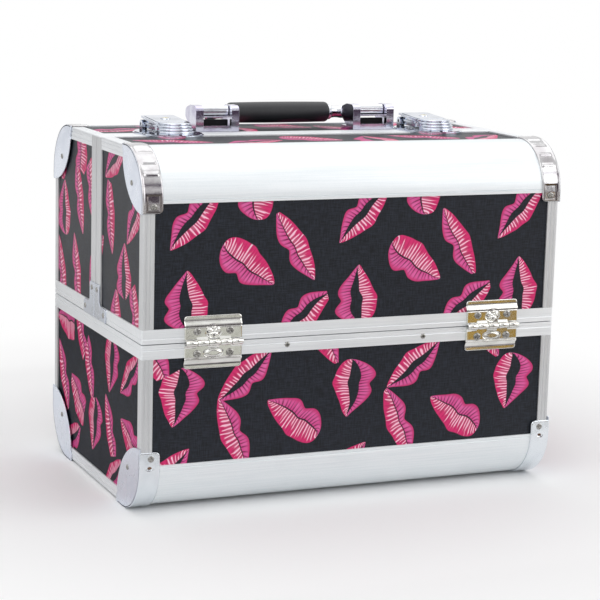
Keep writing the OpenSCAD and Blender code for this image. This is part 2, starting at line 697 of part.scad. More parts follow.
// a tray whose lid pin is at (pin_y, pin_z)
module tray(pin_y, pin_z) difference() {
  pitch = 2 * (tray_x - tray_t) / (divider_count + 1);
  union() {
    difference() {
      translate([0, 0, pin_z]) along_x(-tray_x, tray_x) tray_section(0, tray_pin_drop);
      translate([0, 0, pin_z]) along_x(-tray_x + tray_t, tray_x - tray_t)
        tray_section(tray_t, tray_pin_drop + 1);
    }
    for (i = [1 : divider_count]) {
      x = -tray_x + tray_t + i * pitch;
      translate([0, 0, pin_z]) along_x(x - divider_t / 2, x + divider_t / 2)
        tray_section(tray_t / 2, tray_pin_drop - divider_drop);
    }
  }
  for (p = [[pin_y, pin_z], [pin_y + arm_in, pin_z - arm_drop]])
    rod_x(link_pin_r + pin_fit, -half_w, half_w, p[0], p[1]);
}
module lower_tray() color("#3a3b40") tray(lower_pin_y, lower_pin_z);
module upper_tray() color("#3a3b40") tray(upper_pin_y, upper_pin_z);
// swing arm with the two pins that turn in the trays
module arm_bar() difference() {
  union() {
    rod_x(arm_r, arm_x0, arm_x1, 0, 0);
    rod_x(arm_r, arm_x0, arm_x1, upper_pin_rise, upper_pin_rise);
    rotate([45, 0, 0]) block(arm_x0, arm_x1, 0, arm_len, -arm_r, arm_r);
  }
  rod_x(link_pin_r + pin_fit, arm_x0 - 1, arm_x1 + 1, 0, 0);
}
module arm_pin(rise) {
  rod_x(link_pin_r, tray_x - tray_t, arm_x1, rise, rise);
  rod_x(link_collar_r, tray_x + collar_fit, arm_x0, rise, rise);
  rod_x(link_collar_r, arm_x1, arm_x1 + link_head_t, rise, rise);
}
module arms() color("#c2c5ca") both_sides() translate([0, arm_y, arm_z]) {
  arm_bar();
  arm_pin(lower_pin_rise);
  arm_pin(upper_pin_rise);
}

base_floor();
base_front_panel();
base_rear_panel();
base_side_panels();
base_curves();
base_rim();
base_posts();
base_side_trims();
base_corner_caps();
base_liner();
hinge_base_leaves();
base_pins();
base_screws();
base_rivets();
color("#2b2c33") lid_face();  // front_lid_face
color("#2b2c33") lid_top();  // front_lid_top
color("#2b2c33") lid_sides();  // front_lid_sides
color("#d9dbde") lid_curve();  // front_lid_curve
color("#d9dbde") lid_rim();  // front_lid_rim
color("#d9dbde") lid_centre_strip();  // front_lid_centre_strip
color("#d9dbde") lid_posts();  // front_lid_posts
color("#d9dbde") lid_trims();  // front_lid_trims
color("#e4e8f2") lid_caps();  // front_lid_caps
color("#e4e8f2") lid_braces();  // front_lid_braces
color("#dfe2e6") lid_leaves();  // front_lid_hinge_leaves
color("#1d1d20") lid_lining();  // front_lid_lining
color("#cfd2d6") lid_screws();  // front_lid_screws
color("#c2c5ca") lid_tray_pins();  // front_tray_pins
latch_strikes();
color("#2b2c33") rear() lid_face();  // rear_lid_face
color("#2b2c33") rear() lid_top();  // rear_lid_top
color("#2b2c33") rear() lid_sides();  // rear_lid_sides
color("#d9dbde") rear() lid_curve();  // rear_lid_curve
color("#d9dbde") rear() lid_rim();  // rear_lid_rim
color("#d9dbde") rear() lid_centre_strip();  // rear_lid_centre_strip
color("#d9dbde") rear() lid_posts();  // rear_lid_posts
color("#d9dbde") rear() lid_trims();  // rear_lid_trims
color("#e4e8f2") rear() lid_caps();  // rear_lid_caps
color("#e4e8f2") rear() lid_braces();  // rear_lid_braces
color("#dfe2e6") rear() lid_leaves();  // rear_lid_hinge_leaves
color("#1d1d20") rear() lid_lining();  // rear_lid_lining
color("#cfd2d6") rear() lid_screws();  // rear_lid_screws
color("#c2c5ca") rear() lid_tray_pins();  // rear_tray_pins
latch_bases();
handle_brackets();
rear_lid_pins();
color("#dfe2e6") at_latch(-1) hasp();  // left_hasp
color("#dfe2e6") at_latch(1) hasp();  // right_hasp
color("#c9a24a") at_latch(-1) key_cylinder();  // left_key_cylinder
color("#c9a24a") at_latch(1) key_cylinder();  // right_key_cylinder
color("#b9bcc2") at_latch(-1) bolt();  // left_bolt
color("#b9bcc2") at_latch(1) bolt();  // right_bolt
handle_bail();
handle_grip();
lower_tray();  // front_lower_tray
upper_tray();  // front_upper_tray
rear() lower_tray();  // rear_lower_tray
rear() upper_tray();  // rear_upper_tray
arms();  // front_arms
rear() arms();  // rear_arms
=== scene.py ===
import json
import math
import bmesh
import bpy
import numpy as np
from mathutils import Matrix, Vector


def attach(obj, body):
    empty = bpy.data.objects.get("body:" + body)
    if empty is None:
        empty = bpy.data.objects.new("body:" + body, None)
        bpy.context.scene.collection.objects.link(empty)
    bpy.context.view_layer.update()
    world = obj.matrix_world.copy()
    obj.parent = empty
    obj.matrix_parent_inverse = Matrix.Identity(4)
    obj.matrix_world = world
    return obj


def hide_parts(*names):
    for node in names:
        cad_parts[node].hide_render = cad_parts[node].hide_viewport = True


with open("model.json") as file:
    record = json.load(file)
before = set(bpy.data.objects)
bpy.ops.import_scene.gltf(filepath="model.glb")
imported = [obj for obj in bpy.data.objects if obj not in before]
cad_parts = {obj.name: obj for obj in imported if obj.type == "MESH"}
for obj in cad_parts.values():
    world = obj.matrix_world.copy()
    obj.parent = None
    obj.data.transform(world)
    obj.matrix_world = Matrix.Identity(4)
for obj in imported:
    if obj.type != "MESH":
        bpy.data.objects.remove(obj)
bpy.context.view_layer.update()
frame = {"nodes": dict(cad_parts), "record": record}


# a dictionary whose values can also be read as settings.name
class Settings(dict):
    __getattr__ = dict.__getitem__


# all shapes below are worked out in millimetres and put in the mesh in metres
mm = 0.001
case = Settings(
    halfW=160.0, halfD=104.0, top=254.0, seam=122.0, lidZ=122.3, baseZ=121.7, lift=1.05, midY=0.4, curveR=36.0,
    alu=1.2, wall=5.0, channelIn=6.2, rim=10.0, rimInner=8.0, strip=11.0, postFace=8.5, postSide=7.0, trim=9.0)
left, front = -case.halfW, -case.halfD  # the planes of the left side and of the front
quarter = np.pi / 2


# A shape is a pair (points, faces). This joins shapes into one.
def joined(parts):
    points, faces, start = [], [], 0
    for p, f in parts:
        points.append(p)
        faces += [[i + start for i in face] for face in f]
        start += len(p)
    return np.concatenate(points), faces


def reversedFaces(faces):
    return [face[::-1] for face in faces]


# the mirror image across the plane where the axis (0, 1 or 2) is zero, faces turned back outwards
def mirrored(part, axis):
    p = part[0].copy()
    p[:, axis] *= -1
    return p, reversedFaces(part[1])


def leftAndRight(part):
    return joined([part, mirrored(part, 0)])


def moved(part, offset):
    return part[0] + np.array(offset, float), part[1]


# faces of a grid whose points are (rows, columns, 3); either way round may close on itself
def gridFaces(rows, columns, closeRows=False, closeColumns=False, start=0):
    r = np.arange(rows if closeRows else rows - 1)[:, None]
    c = np.arange(columns if closeColumns else columns - 1)[None, :]
    r2, c2 = (r + 1) % rows, (c + 1) % columns
    quads = np.stack([r * columns + c, r * columns + c2, r2 * columns + c2, r2 * columns + c], -1)
    return (quads.reshape(-1, 4) + start).tolist()


# which column of (p, q, along) gives x, y and z, for a shape drawn along an axis
axisOrder = dict(X=[2, 0, 1], Y=[1, 2, 0], Z=[0, 1, 2])


# a closed outline drawn out from a to b along an axis; its points are (y, z) for X, (z, x) for Y, (x, y) for Z
def prism(outline, a, b, axis="X"):
    o = np.array(outline, float)
    if np.sum(o[:, 0] * np.roll(o[:, 1], -1) - np.roll(o[:, 0], -1) * o[:, 1]) < 0:
        o = o[::-1]
    n = len(o)
    rings = np.zeros((2, n, 3))
    rings[..., :2] = o
    rings[0, :, 2], rings[1, :, 2] = min(a, b), max(a, b)
    faces = gridFaces(2, n, closeColumns=True) + [list(range(n))[::-1], list(range(n, 2 * n))]
    return rings[..., axisOrder[axis]].reshape(-1, 3), faces


def block(x0, x1, y0, y1, z0, z1):
    return prism([(y0, z0), (y1, z0), (y1, z1), (y0, z1)], x0, x1)


# a polygon with its corners rounded: each gives way to an arc of its radius, cut back where that is too big
def rounded(corners, radius, steps=5):
    c = np.array(corners, float)
    out = []
    for i, (p, wanted) in enumerate(zip(c, np.broadcast_to(np.array(radius, float), len(c)))):
        a, b = c[i - 1] - p, c[(i + 1) % len(c)] - p
        lengthA, lengthB = np.linalg.norm(a), np.linalg.norm(b)
        a, b = a / lengthA, b / lengthB
        half = math.acos(np.clip(a @ b, -1, 1)) / 2
        back = min(wanted / math.tan(half), 0.49 * lengthA, 0.49 * lengthB)
        r = back * math.tan(half)
        centre = p + (a + b) / np.linalg.norm(a + b) * (r / math.sin(half))
        start, end = p + a * back - centre, p + b * back - centre
        t = np.linspace(0, 1, steps + 1)[:, None]
        whole = math.acos(np.clip(start @ end / (r * r), -1, 1))
        out.append(centre + (np.sin((1 - t) * whole) * start + np.sin(t * whole) * end) / math.sin(whole))
    return np.concatenate(out)


# a (radius, height) profile turned once round an axis through a point; radius zero closes at the axis
def lathe(profile, axis="Z", at=(0, 0, 0), steps=32):
    p = np.array(profile, float)
    a = np.linspace(0, 2 * np.pi, steps, endpoint=False)
    ring = np.stack([p[:, :1] * np.cos(a), p[:, :1] * np.sin(a), np.broadcast_to(p[:, 1:2], (len(p), steps))], -1)
    points = ring.reshape(-1, 3)[:, axisOrder[axis]] + np.array(at, float)
    return points, gridFaces(len(p), steps, closeColumns=True)


# profile of a turned drum from x0 to x1, with a bore and its two rims broken by a small chamfer
def drum(bore, r, x0, x1, chamfer):
    return [(bore, x0), (r - chamfer, x0), (r, x0 + chamfer), (r, x1 - chamfer), (r - chamfer, x1), (bore, x1)]


# the skin between two grids of the same size, outer and inner, with its four edges closed
def slab(outer, inner):
    rows, columns = outer.shape[:2]
    n = rows * columns
    i = np.arange(n).reshape(rows, columns)
    edge = np.concatenate([i[0, :-1], i[:-1, -1], i[-1, :0:-1], i[:0:-1, 0]])
    following = np.roll(edge, -1)
    sides = np.stack([edge, edge + n, following + n, following], -1).tolist()
    faces = gridFaces(rows, columns) + reversedFaces(gridFaces(rows, columns, start=n)) + sides
    return np.concatenate([outer.reshape(-1, 3), inner.reshape(-1, 3)]), faces


# A section of (inset, along) points carried round the corners (p, q) of a frame with its middle at zero. At a
# corner each point turns on an arc of the corner's radius less its own inset; an open frame ends square.
def frameSweep(section, corners, closed, cornerR=1.2, steps=4):
    inset, along = np.array(section, float).T
    r, inner = np.maximum(cornerR - inset, 0), np.maximum(inset, cornerR)
    turn = np.linspace(0, quarter, steps + 1)
    rings = []
    for i, (p, q) in enumerate(corners):
        signP, signQ = np.sign(p), np.sign(q)
        atEnd = not closed and i in (0, len(corners) - 1)
        otherP, otherQ = corners[1] if atEnd and i == 0 else corners[i - 1]
        keepsP = abs(otherP - p) < abs(otherQ - q)
        if atEnd:
            rings.append(np.stack([p - keepsP * signP * inset, q - (not keepsP) * signQ * inset], -1))
            continue
        for a in turn if keepsP else turn[::-1]:
            rings.append(np.stack([p - signP * (inner - r * np.cos(a)), q - signQ * (inner - r * np.sin(a))], -1))
    rings = np.stack(rings)
    points = np.concatenate([rings, np.broadcast_to(along, rings.shape[:2])[..., None]], -1).reshape(-1, 3)
    n, last = len(inset), len(points) - len(inset)
    faces = gridFaces(len(rings), n, closeRows=closed, closeColumns=True)
    return points, faces if closed else faces + [list(range(n))[::-1], list(range(last, last + n))]


# curves used in reliefs
def bellCurve(x, at, half):  # 1 at a place, falling off over the half width
    return np.exp(-((x - at) / half) ** 2)


def softFall(x, sharpness):  # from 1 to 0 where x passes zero
    return 1 / (1 + np.exp(x * sharpness))


def edgeFall(x, width):  # straight down from 1 at an edge to 0 at the width
    return np.clip(1 - x / width, 0, 1)


def smoothRise(x):  # from 0 to 1, level at both ends
    t = np.clip(x, 0, 1)
    return t * t * (3 - 2 * t)


def cornerCut(radius, fromEnd):  # how far a round corner draws a side in
    return radius - np.sqrt(np.maximum(radius ** 2 - np.maximum(radius - fromEnd, 0) ** 2, 0))


# wraps a shader socket, so that sums on values are written as ordinary expressions
class Wire:
    def __init__(self, net, socket):
        self.net, self.socket = net, socket

    def math(self, kind, *values, clamp=False):
        return self.net.node("ShaderNodeMath", dict(operation=kind, use_clamp=clamp), values)

    def __add__(self, other): return self.math("ADD", self, other)
    def __radd__(self, other): return self.math("ADD", other, self)
    def __sub__(self, other): return self.math("SUBTRACT", self, other)
    def __rsub__(self, other): return self.math("SUBTRACT", other, self)
    def __mul__(self, other): return self.math("MULTIPLY", self, other)
    def __rmul__(self, other): return self.math("MULTIPLY", other, self)
    def __truediv__(self, other): return self.math("DIVIDE", self, other)
    def __rtruediv__(self, other): return self.math("DIVIDE", other, self)
    def __pow__(self, other): return self.math("POWER", self, other)
    def __neg__(self): return self.math("MULTIPLY", self, -1.0)
    def __lt__(self, other): return self.math("LESS_THAN", self, other)
    def __gt__(self, other): return self.math("GREATER_THAN", self, other)
    def sin(self): return self.math("SINE", self)
    def abs(self): return self.math("ABSOLUTE", self)
    def floor(self): return self.math("FLOOR", self)
    def exp(self): return self.math("EXPONENT", self)
    def max(self, other): return self.math("MAXIMUM", self, other)
    def min(self, other): return self.math("MINIMUM", self, other)
    def clip(self): return self.math("ADD", self, 0.0, clamp=True)

    # 0 at lo and 1 at hi, smooth between them; lo may lie above hi
    def ramp(self, lo, hi):
        return self.net.node("ShaderNodeMapRange", dict(interpolation_type="SMOOTHSTEP"), [self, lo, hi, 0.0, 1.0])


# the nodes of one material, or of the world; a colour is a triple
class Net:
    shaderSockets = dict(color="Base Color", roughness="Roughness", metallic="Metallic", normal="Normal",
                         specular="Specular IOR Level")

    def __init__(self, name, owner=None):
        self.owner = owner or bpy.data.materials.new(name)
        self.owner.use_nodes = True
        self.nodes, self.links = self.owner.node_tree.nodes, self.owner.node_tree.links

    def plug(self, socket, value):
        if isinstance(value, Wire):
            self.links.new(value.socket, socket)
        else:
            socket.default_value = (*value, 1) if socket.type == "RGBA" else value

    # adds a node: its type, its settings, the values or links of its sockets; gives an output, or those in a list
    def node(self, kind, settings={}, sockets=(), out=0):
        n = self.nodes.new(kind)
        for key, value in settings.items():
            setattr(n, key, value)
        for key, value in sockets.items() if isinstance(sockets, dict) else enumerate(sockets):
            self.plug(n.inputs[key], value)
        return [Wire(self, n.outputs[o]) for o in out] if isinstance(out, list) else Wire(self, n.outputs[out])

    def set(self, **values):
        for key, value in values.items():
            self.plug(self.nodes["Principled BSDF"].inputs[self.shaderSockets[key]], value)
        return self.owner

    def surface(self, shader):
        self.plug(self.nodes["Material Output"].inputs[0], shader)

    def place(self):
        return self.node("ShaderNodeTexCoord", out="Object")

    def xyz(self, vector):
        return self.node("ShaderNodeSeparateXYZ", {}, [vector], [0, 1, 2])

    def vector(self, x, y, z):
        return self.node("ShaderNodeCombineXYZ", {}, [x, y, z])

    def scaled(self, vector, factors):
        return self.node("ShaderNodeVectorMath", dict(operation="MULTIPLY"), [vector, factors])

    def length(self, vector):
        return self.node("ShaderNodeVectorMath", dict(operation="LENGTH"), [vector], "Value")

    def noise(self, vector, scale=1.0, detail=2.0, roughness=0.5):
        sockets = dict(Vector=vector, Scale=scale, Detail=detail, Roughness=roughness)
        return self.node("ShaderNodeTexNoise", {}, sockets, "Fac")

    # colour a where the factor is 0, colour b where it is 1
    def blend(self, factor, a, b):
        return self.node("ShaderNodeMix", dict(data_type="RGBA"), {0: factor, 6: a, 7: b}, 2)

    def bump(self, height, strength, distance):
        return self.node("ShaderNodeBump", {}, dict(Height=height, Strength=strength, Distance=distance))

    def glow(self, tone):
        return self.node("ShaderNodeEmission", {}, dict(Color=tone, Strength=1.0))


# a display colour such as "c43a92" as linear values
def ink(code):
    v = np.array([int(code[i:i + 2], 16) for i in (0, 2, 4)]) / 255
    return tuple(np.where(v <= 0.04045, v / 12.92, ((v + 0.055) / 1.055) ** 2.4).tolist())


# tones are pairs: dark, pale; the upright tones are darker than the level ones, painted shade, and the curve's
# tones are a little bluer, painted light
aluLook = Settings(
    level=("dfe2e5", "f1f3f5"), curve=("e0e6e9", "f0f3f5"), upright=("c2c3c5", "d9dadb"), roughness=0.42,
    metallic=0.5, grainAcross=900.0, grainAlong=14.0, speckScale=1500.0, wearScale=26.0, bump=0.18, changeOver=0.8)


# satin aluminium: grain runs along the piece, drawn by noise stretched along it, with faint specks and wear
def aluMaterial(name, along, tones, levelAbove=None):
    s = aluLook
    net = Net(name)
    p = net.place()
    grain = net.noise(net.scaled(p, tuple(s.grainAlong if axis == along else s.grainAcross for axis in "XYZ")), 1.0,
                      2.0, 0.6)
    specks = net.noise(p, s.speckScale, 2.0, 0.7)
    wear = net.noise(p, s.wearScale, 3.0, 0.6)
    tone = (grain * 0.5 + specks * 0.3 + wear * 0.2).ramp(0.25, 0.75)
    color = net.blend(tone, *map(ink, tones))
    # above this height the level tones take over, so the top of an upright piece has no painted shade
    if levelAbove:
        isLevel = net.xyz(p)[2].ramp(levelAbove * mm, (levelAbove + s.changeOver) * mm)
        color = net.blend(isLevel, color, net.blend(tone, *map(ink, s.level)))
    return net.set(color=color, metallic=s.metallic, roughness=s.roughness - 0.06 + grain * 0.12,
                   normal=net.bump(grain * 0.6 + specks * 0.4, s.bump, 0.0002))


# bright plated steel: almost smooth, with faint ripples of the pressing and a little dullness in patches;
# painted shade darkens the places that a shade mask names (0 none, 1 full)
def chromeMaterial(name, color, dull, roughness, ripple=0.12, waveScale=90.0, shadeMask=None, shadeTone=None):
    net = Net(name)
    p = net.place()
    patches = net.noise(p, 60.0, 3.0, 0.6).ramp(0.35, 0.75)
    waves = net.noise(p, waveScale, 1.5, 0.4)
    specks = net.noise(p, 2200.0, 2.0, 0.6)
    tone = net.blend(patches * 0.5, ink(color), ink(dull))
    if shadeMask:
        # painted shade: the dark tone blended in where the mask is, a little unevenly
        tone = net.blend(shadeMask(net, p) * (0.7 + waves * 0.4), tone, ink(shadeTone))
    return net.set(color=tone, metallic=1.0, roughness=roughness + patches * 0.08 + specks * 0.03,
                   normal=net.bump(waves * 0.9 + specks * 0.1, ripple, 0.0006))


# moulded, painted or dull metal surfaces: a base colour with fine grain and slight patches
def grainMaterial(name, dark, light, roughness, scale=1400.0, bump=0.25, metallic=0.0, specular=0.5):
    net = Net(name)
    p = net.place()
    grain = net.noise(p, scale, 2.0, 0.6)
    patches = net.noise(p, 30.0, 3.0, 0.6)
    tone = (grain * 0.6 + patches * 0.4).ramp(0.3, 0.75)
    return net.set(color=net.blend(tone, ink(dark), ink(light)), roughness=roughness - 0.05 + patches * 0.1,
                   metallic=metallic, specular=specular, normal=net.bump(grain, bump, 0.0002))


# how strongly a thin line of painted shade shows: 1 on it, falling off as a bell curve over its half width
def shadeLine(value, half):
    t = value * (1 / half)
    return (t * t * -1.0).exp()


def added(name, data):
    thing = bpy.data.objects.new(name, data)
    bpy.context.scene.collection.objects.link(thing)
    return thing


# puts a shape in a mesh object that rides on a body and stands for CAD nodes; bevelled, or smooth up to some
# degrees
def makePiece(name, part, body, nodes, slot, material, bevel=0.0, smooth=35.0):
    mesh = bpy.data.meshes.new(name)
    mesh.from_pydata((part[0] * mm).tolist(), [], part[1])
    work = added(name, mesh)
    skin = bmesh.new()
    skin.from_mesh(mesh)
    bmesh.ops.remove_doubles(skin, verts=skin.verts, dist=0.004 * mm)
    bmesh.ops.recalc_face_normals(skin, faces=skin.faces)
    skin.to_mesh(mesh)
    skin.free()
    mesh.polygons.foreach_set("use_smooth", [True] * len(mesh.polygons))
    if bevel:
        m = work.modifiers.new("edges", "BEVEL")
        m.width, m.segments, m.limit_method, m.angle_limit = bevel * mm, 2, "ANGLE", math.radians(38)
        m.harden_normals, m.use_clamp_overlap = True, True
    else:
        mesh.set_sharp_from_angle(angle=math.radians(smooth))
    mesh.materials.append(material)
    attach(work, body)
    if nodes:
        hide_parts(*nodes)


# a piece of the front half of the lid and its mirror image on the rear half
def makeLidPair(name, part, node, slot, material, **finish):
    for side, shape in (("front", part), ("rear", mirrored(part, 1))):
        makePiece(side + name, shape, side + "_lid", [f"{side}_lid_{node}"], slot, material, **finish)


# a piece of the front half of the base, in one with its mirror image at the back
def makeBasePair(name, part, nodes, slot, material, **finish):
    makePiece(name, joined([part, mirrored(part, 1)]), "base", nodes, slot, material, **finish)


print("printed boards")
printLook = Settings(
    ground="0d1016", thread="232833", roughness=0.45, weave=5600.0, slubScales=(130.0, 1300.0),
    upper="cb357f", upperDeep="731344", upperPale="e473b0", edge="bf1e5c", lower="d2266a", lowerDeep="8a103f",
    pale="f9cadd", codeStep=1e-5)
lipShape = Settings(
    wobble=0.10, sharpEnd=0.12, bluntEnd=0.52, shift=0.16, notch=32.0, humpAt=0.42, humpNarrow=2.6, arch=0.10,
    openUp=0.13, openDown=0.10, upperHigh=0.33, lowerHigh=0.47, softEdge=0.06, upperCreases=66.0,
    lowerCreases=70.0)

# the kinds of motif: half length, half height, opening and bluntness of one corner, both 0..9
lipKinds = dict(plump=(24, 31, 0, 9), slender=(29, 23, 0, 0), ring=(21, 31, 9, 9), crescent=(27, 23, 8, 0))
# every motif: kind, place on the panel, tilt of the mouth in degrees, and side of the upper lip: 1 is to the
# left of the mouth's direction, which points to the sharper corner
frontUpper = [
    ("crescent", -122, 206, 48, 1), ("plump", -82, 175, -38, -1), ("slender", -48, 186, -59, -1),
    ("ring", -125, 151, 97, 1), ("plump", -76, 229, 90, 1), ("crescent", -40, 136, 40, 1),
    ("crescent", 4, 206, 46, 1), ("plump", 46, 172, -36, -1), ("slender", 80, 184, -61, -1),
    ("ring", 3, 150, 96, 1), ("plump", 52, 229, 92, 1), ("crescent", 88, 138, 38, 1),
    ("crescent", 130, 205, 47, 1), ("ring", 133, 151, 98, 1)]
frontLower = [
    ("ring", -135, 84, -95, 1), ("crescent", -84, 97, 221, 1), ("slender", -92, 55, -67, 1),
    ("plump", -47, 63, 143, -1), ("slender", -28, 124, -58, 1), ("ring", -4, 82, -94, 1),
    ("crescent", 47, 97, 219, 1), ("slender", 36, 54, -68, 1), ("plump", 81, 57, 144, -1),
    ("slender", 101, 121, -57, 1), ("ring", 125, 79, -95, 1), ("crescent", -144, 29, 222, 1),
    ("slender", -154, 116, -60, 1), ("crescent", -10, 24, 220, 1)]
sideUpper = [
    ("ring", -80, 192, 96, 1), ("slender", -44, 205, -72, -1), ("slender", -16, 216, -76, -1),
    ("slender", 30, 202, -80, -1), ("crescent", -2, 163, 52, 1), ("slender", -88, 141, -70, -1),
    ("slender", -50, 148, -74, -1), ("ring", 64, 165, 97, 1), ("slender", 86, 140, -74, -1),
    ("plump", 46, 128, 94, 1), ("crescent", 84, 206, 50, 1), ("plump", -86, 236, 80, 1),
    ("plump", -38, 240, 85, 1), ("crescent", 40, 240, 30, 1)]
sideLower = [
    ("plump", -74, 104, 176, -1), ("slender", -37, 101, -60, 1), ("slender", -18, 84, -70, 1),
    ("ring", 32, 94, -94, 1), ("crescent", 76, 96, 221, 1), ("slender", -82, 62, -64, 1),
    ("plump", -46, 52, 140, -1), ("ring", -6, 42, -96, 1), ("plump", 78, 48, 150, -1),
    ("slender", 34, 44, -66, 1), ("crescent", -60, 18, 215, 1), ("crescent", 40, 14, 218, 1)]
topMotifs = [
    ("slender", -116, -38, -22, -1), ("crescent", -58, -50, 20, 1), ("plump", -8, -34, -38, -1),
    ("ring", 40, -44, 96, 1), ("slender", 84, -36, -30, -1), ("crescent", 128, -46, 42, 1),
    ("crescent", -130, 44, 14, 1), ("slender", -84, 60, -24, -1), ("ring", -36, 40, 95, 1),
    ("plump", 10, 58, -36, -1), ("slender", 48, 36, -58, -1), ("crescent", 96, 60, 40, 1),
    ("plump", 136, 32, -30, -1)]


# The film's pattern of lips. Every motif has its own turned and scaled copy of the plane, with the mouth's
# corners at u = -1 and 1; the copy nearest to its own middle is drawn. Its third coordinate carries a code:
# hundreds are the motif's number, tens its bluntness, ones its opening.
def printMaterial(name, motifs, plane, specular):
    s, k = printLook, lipShape
    net = Net(name)
    place = net.place()
    x, y, z = net.xyz(place)
    p, q = {"xz": (x, z), "yz": (-y, z), "xy": (x, y)}[plane]
    flat = net.vector(p, q, 0.0)
    nearest = nearestLength = None
    for i, (kind, atP, atQ, tilt, side) in enumerate(motifs):
        long, high, opening, blunt = lipKinds[kind]
        code = 100 * (i + 1) + 10 * blunt + opening + 0.5
        local = net.node("ShaderNodeMapping", dict(vector_type="TEXTURE"),
                         [flat, (atP * mm, atQ * mm, -code * s.codeStep), (0, 0, math.radians(tilt)),
                          (long * mm, side * high * mm, 1.0)])
        length = net.length(local)
        if nearest is None:
            nearest, nearestLength = local, length
            continue
        choice = {0: length < nearestLength, 4: nearest, 5: local}
        nearest = net.node("ShaderNodeMix", dict(data_type="VECTOR"), choice, 1)
        nearestLength = nearestLength.min(length)
    u, v, w = net.xyz(nearest)
    code = w * (1 / s.codeStep)
    seed = (code * 0.01).floor()
    rest = code - seed * 100.0
    blunt = (rest * 0.1).floor() * (1 / 9)
    opening = ((rest - blunt * 90.0).floor() * (1 / 9)).clip()
    v = v + (net.noise(net.vector(u * 1.5, v * 1.2, seed * 0.77), 1.0, 1.0) - 0.5) * k.wobble
    # both lips end in a point at u = 1; at u = -1 a blunt motif ends in a round
    taper = (1.0 - u).max(0.0) ** (1.0 - blunt * k.sharpEnd) * (1.0 + u).max(0.0) ** (1.0 - blunt * k.bluntEnd)
    middle = u + blunt * k.shift
    notch = (middle * middle * -k.notch).exp()
    hump = (((middle.abs() - k.humpAt) * k.humpNarrow) ** 2.0 * -1.0).exp()
    hollow = taper * taper * opening
    arch = taper * (k.arch + blunt * 0.03) - notch * 0.05
    lineUp, lineDown = arch + hollow * k.openUp, arch - hollow * k.openDown
    crown = 0.80 + hump * 0.32 - notch * (0.30 - blunt * 0.20)
    top = lineUp + taper ** 0.9 * (k.upperHigh + opening * 0.02) * crown
    bottom = lineDown - (taper ** 0.85) * (k.lowerHigh - opening * 0.09)
    # a and b run from 0 at the mouth line to 1 at the outline of the upper and the lower lip
    a = (v - lineUp) / (top - lineUp).max(0.004)
    b = (lineDown - v) / (lineDown - bottom).max(0.004)
    inside = taper.ramp(0.0, 0.05)
    upperMask = a.ramp(0.02, k.softEdge + 0.02) * (1.0 - a).ramp(0.0, k.softEdge) * inside
    lowerMask = b.ramp(0.02, k.softEdge) * (1.0 - b).ramp(0.0, k.softEdge) * inside
    # creases fan out from the mouth: their spacing follows u, drawn apart towards the outline, and is made uneven;
    # each one has its own reach, from noise along u alone
    fanA, fanB = u - a * u * 0.20 + a * 0.03, u - b * u * 0.18
    unevenA = net.noise(net.vector(fanA * 4.0, seed, 0.0))
    unevenB = net.noise(net.vector(fanB * 4.0, seed + 7.0, b * 0.5))
    creaseA = (fanA * k.upperCreases + unevenA * 10.0).sin()
    creaseB = (fanB * k.lowerCreases + unevenB * 13.0).sin()
    reachA = net.noise(net.vector(fanA * 13.0, seed * 1.7, 9.0), 1.0, 1.0)
    reachB = net.noise(net.vector(fanB * 15.0, seed * 1.7, 3.0), 1.0, 1.0)
    body = (a - 0.5) * 1.8
    lit = (1.0 - body * body).max(0.0) * (reachA * 1.5 - 0.1)
    darkA = creaseA.ramp(0.1, 0.95) * ((1.0 - a) * 1.3 + reachA * 1.1 - 0.5).clip()
    shineB = creaseB.ramp(0.0, 0.9) * b.ramp(0.0, 0.08) * (reachB * 1.9 - 0.20 - b).ramp(-0.06, 0.16)
    softB = (0.55 - b).ramp(-0.20, 0.35) * (reachB * 1.6 - 0.45).clip()
    darkB = (-creaseB).ramp(0.2, 0.95) * (1.15 - b).clip()
    upper = net.blend(lit.clip() * 0.75, ink(s.upper), ink(s.upperPale))
    upper = net.blend(darkA * 0.9, upper, ink(s.upperDeep))
    upper = net.blend(a.ramp(0.6, 1.0) * 0.7, upper, ink(s.edge))
    lower = net.blend(darkB * 0.75, ink(s.lower), ink(s.lowerDeep))
    lower = net.blend((shineB * 0.95).max(softB * 0.30), lower, ink(s.pale))
    # the ground is a fine plain weave: two crossed sine waves, a little uneven
    weave = (p * s.weave).sin() * (q * s.weave).sin()
    alongThread, acrossThread = s.slubScales
    slubs = net.noise(net.scaled(flat, (alongThread, acrossThread, 1.0)))
    cross = net.noise(net.scaled(flat, (acrossThread, alongThread, 1.0)))
    ground = net.blend((weave * 0.12 + slubs + cross - 0.5).ramp(0.2, 0.85), ink(s.ground), ink(s.thread))
    drawn = net.blend(lowerMask, net.blend(upperMask, ground, upper), lower)
    wear = net.noise(place, 35.0, 3.0)
    return net.set(color=drawn, roughness=s.roughness + wear * 0.12 - 0.06 + weave * 0.02, specular=specular,
                   normal=net.bump(weave * 0.6 + slubs * 0.4, 0.22, 0.0002))


# which boards carry which part of the pattern, seen in which plane and with what specular level; the side
# boards of the two lids share the motifs near the middle
prints = dict(
    printFrontUpper=(frontUpper, "xz", 0.3, "front_lid_face", "rear_lid_face"),
    printFrontLower=(frontLower, "xz", 0.3, "base_front_panel", "base_rear_panel"),
    printSideLidFront=([m for m in sideUpper if m[1] > -30], "yz", 0.3, "front_lid_sides"),
    printSideLidRear=([m for m in sideUpper if m[1] < 30], "yz", 0.3, "rear_lid_sides"),
    printSideLower=(sideLower, "yz", 0.05, "base_side_panels"),
    printTopFront=([m for m in topMotifs if m[2] < 0], "xy", 0.3, "front_lid_top"),
    printTopRear=([m for m in topMotifs if m[2] > 0], "xy", 0.3, "rear_lid_top"))
nodeFinish = {}
for name, (motifs, plane, specular, *nodes) in prints.items():
    nodeFinish.update(dict.fromkeys(nodes, printMaterial(name, motifs, plane, specular)))

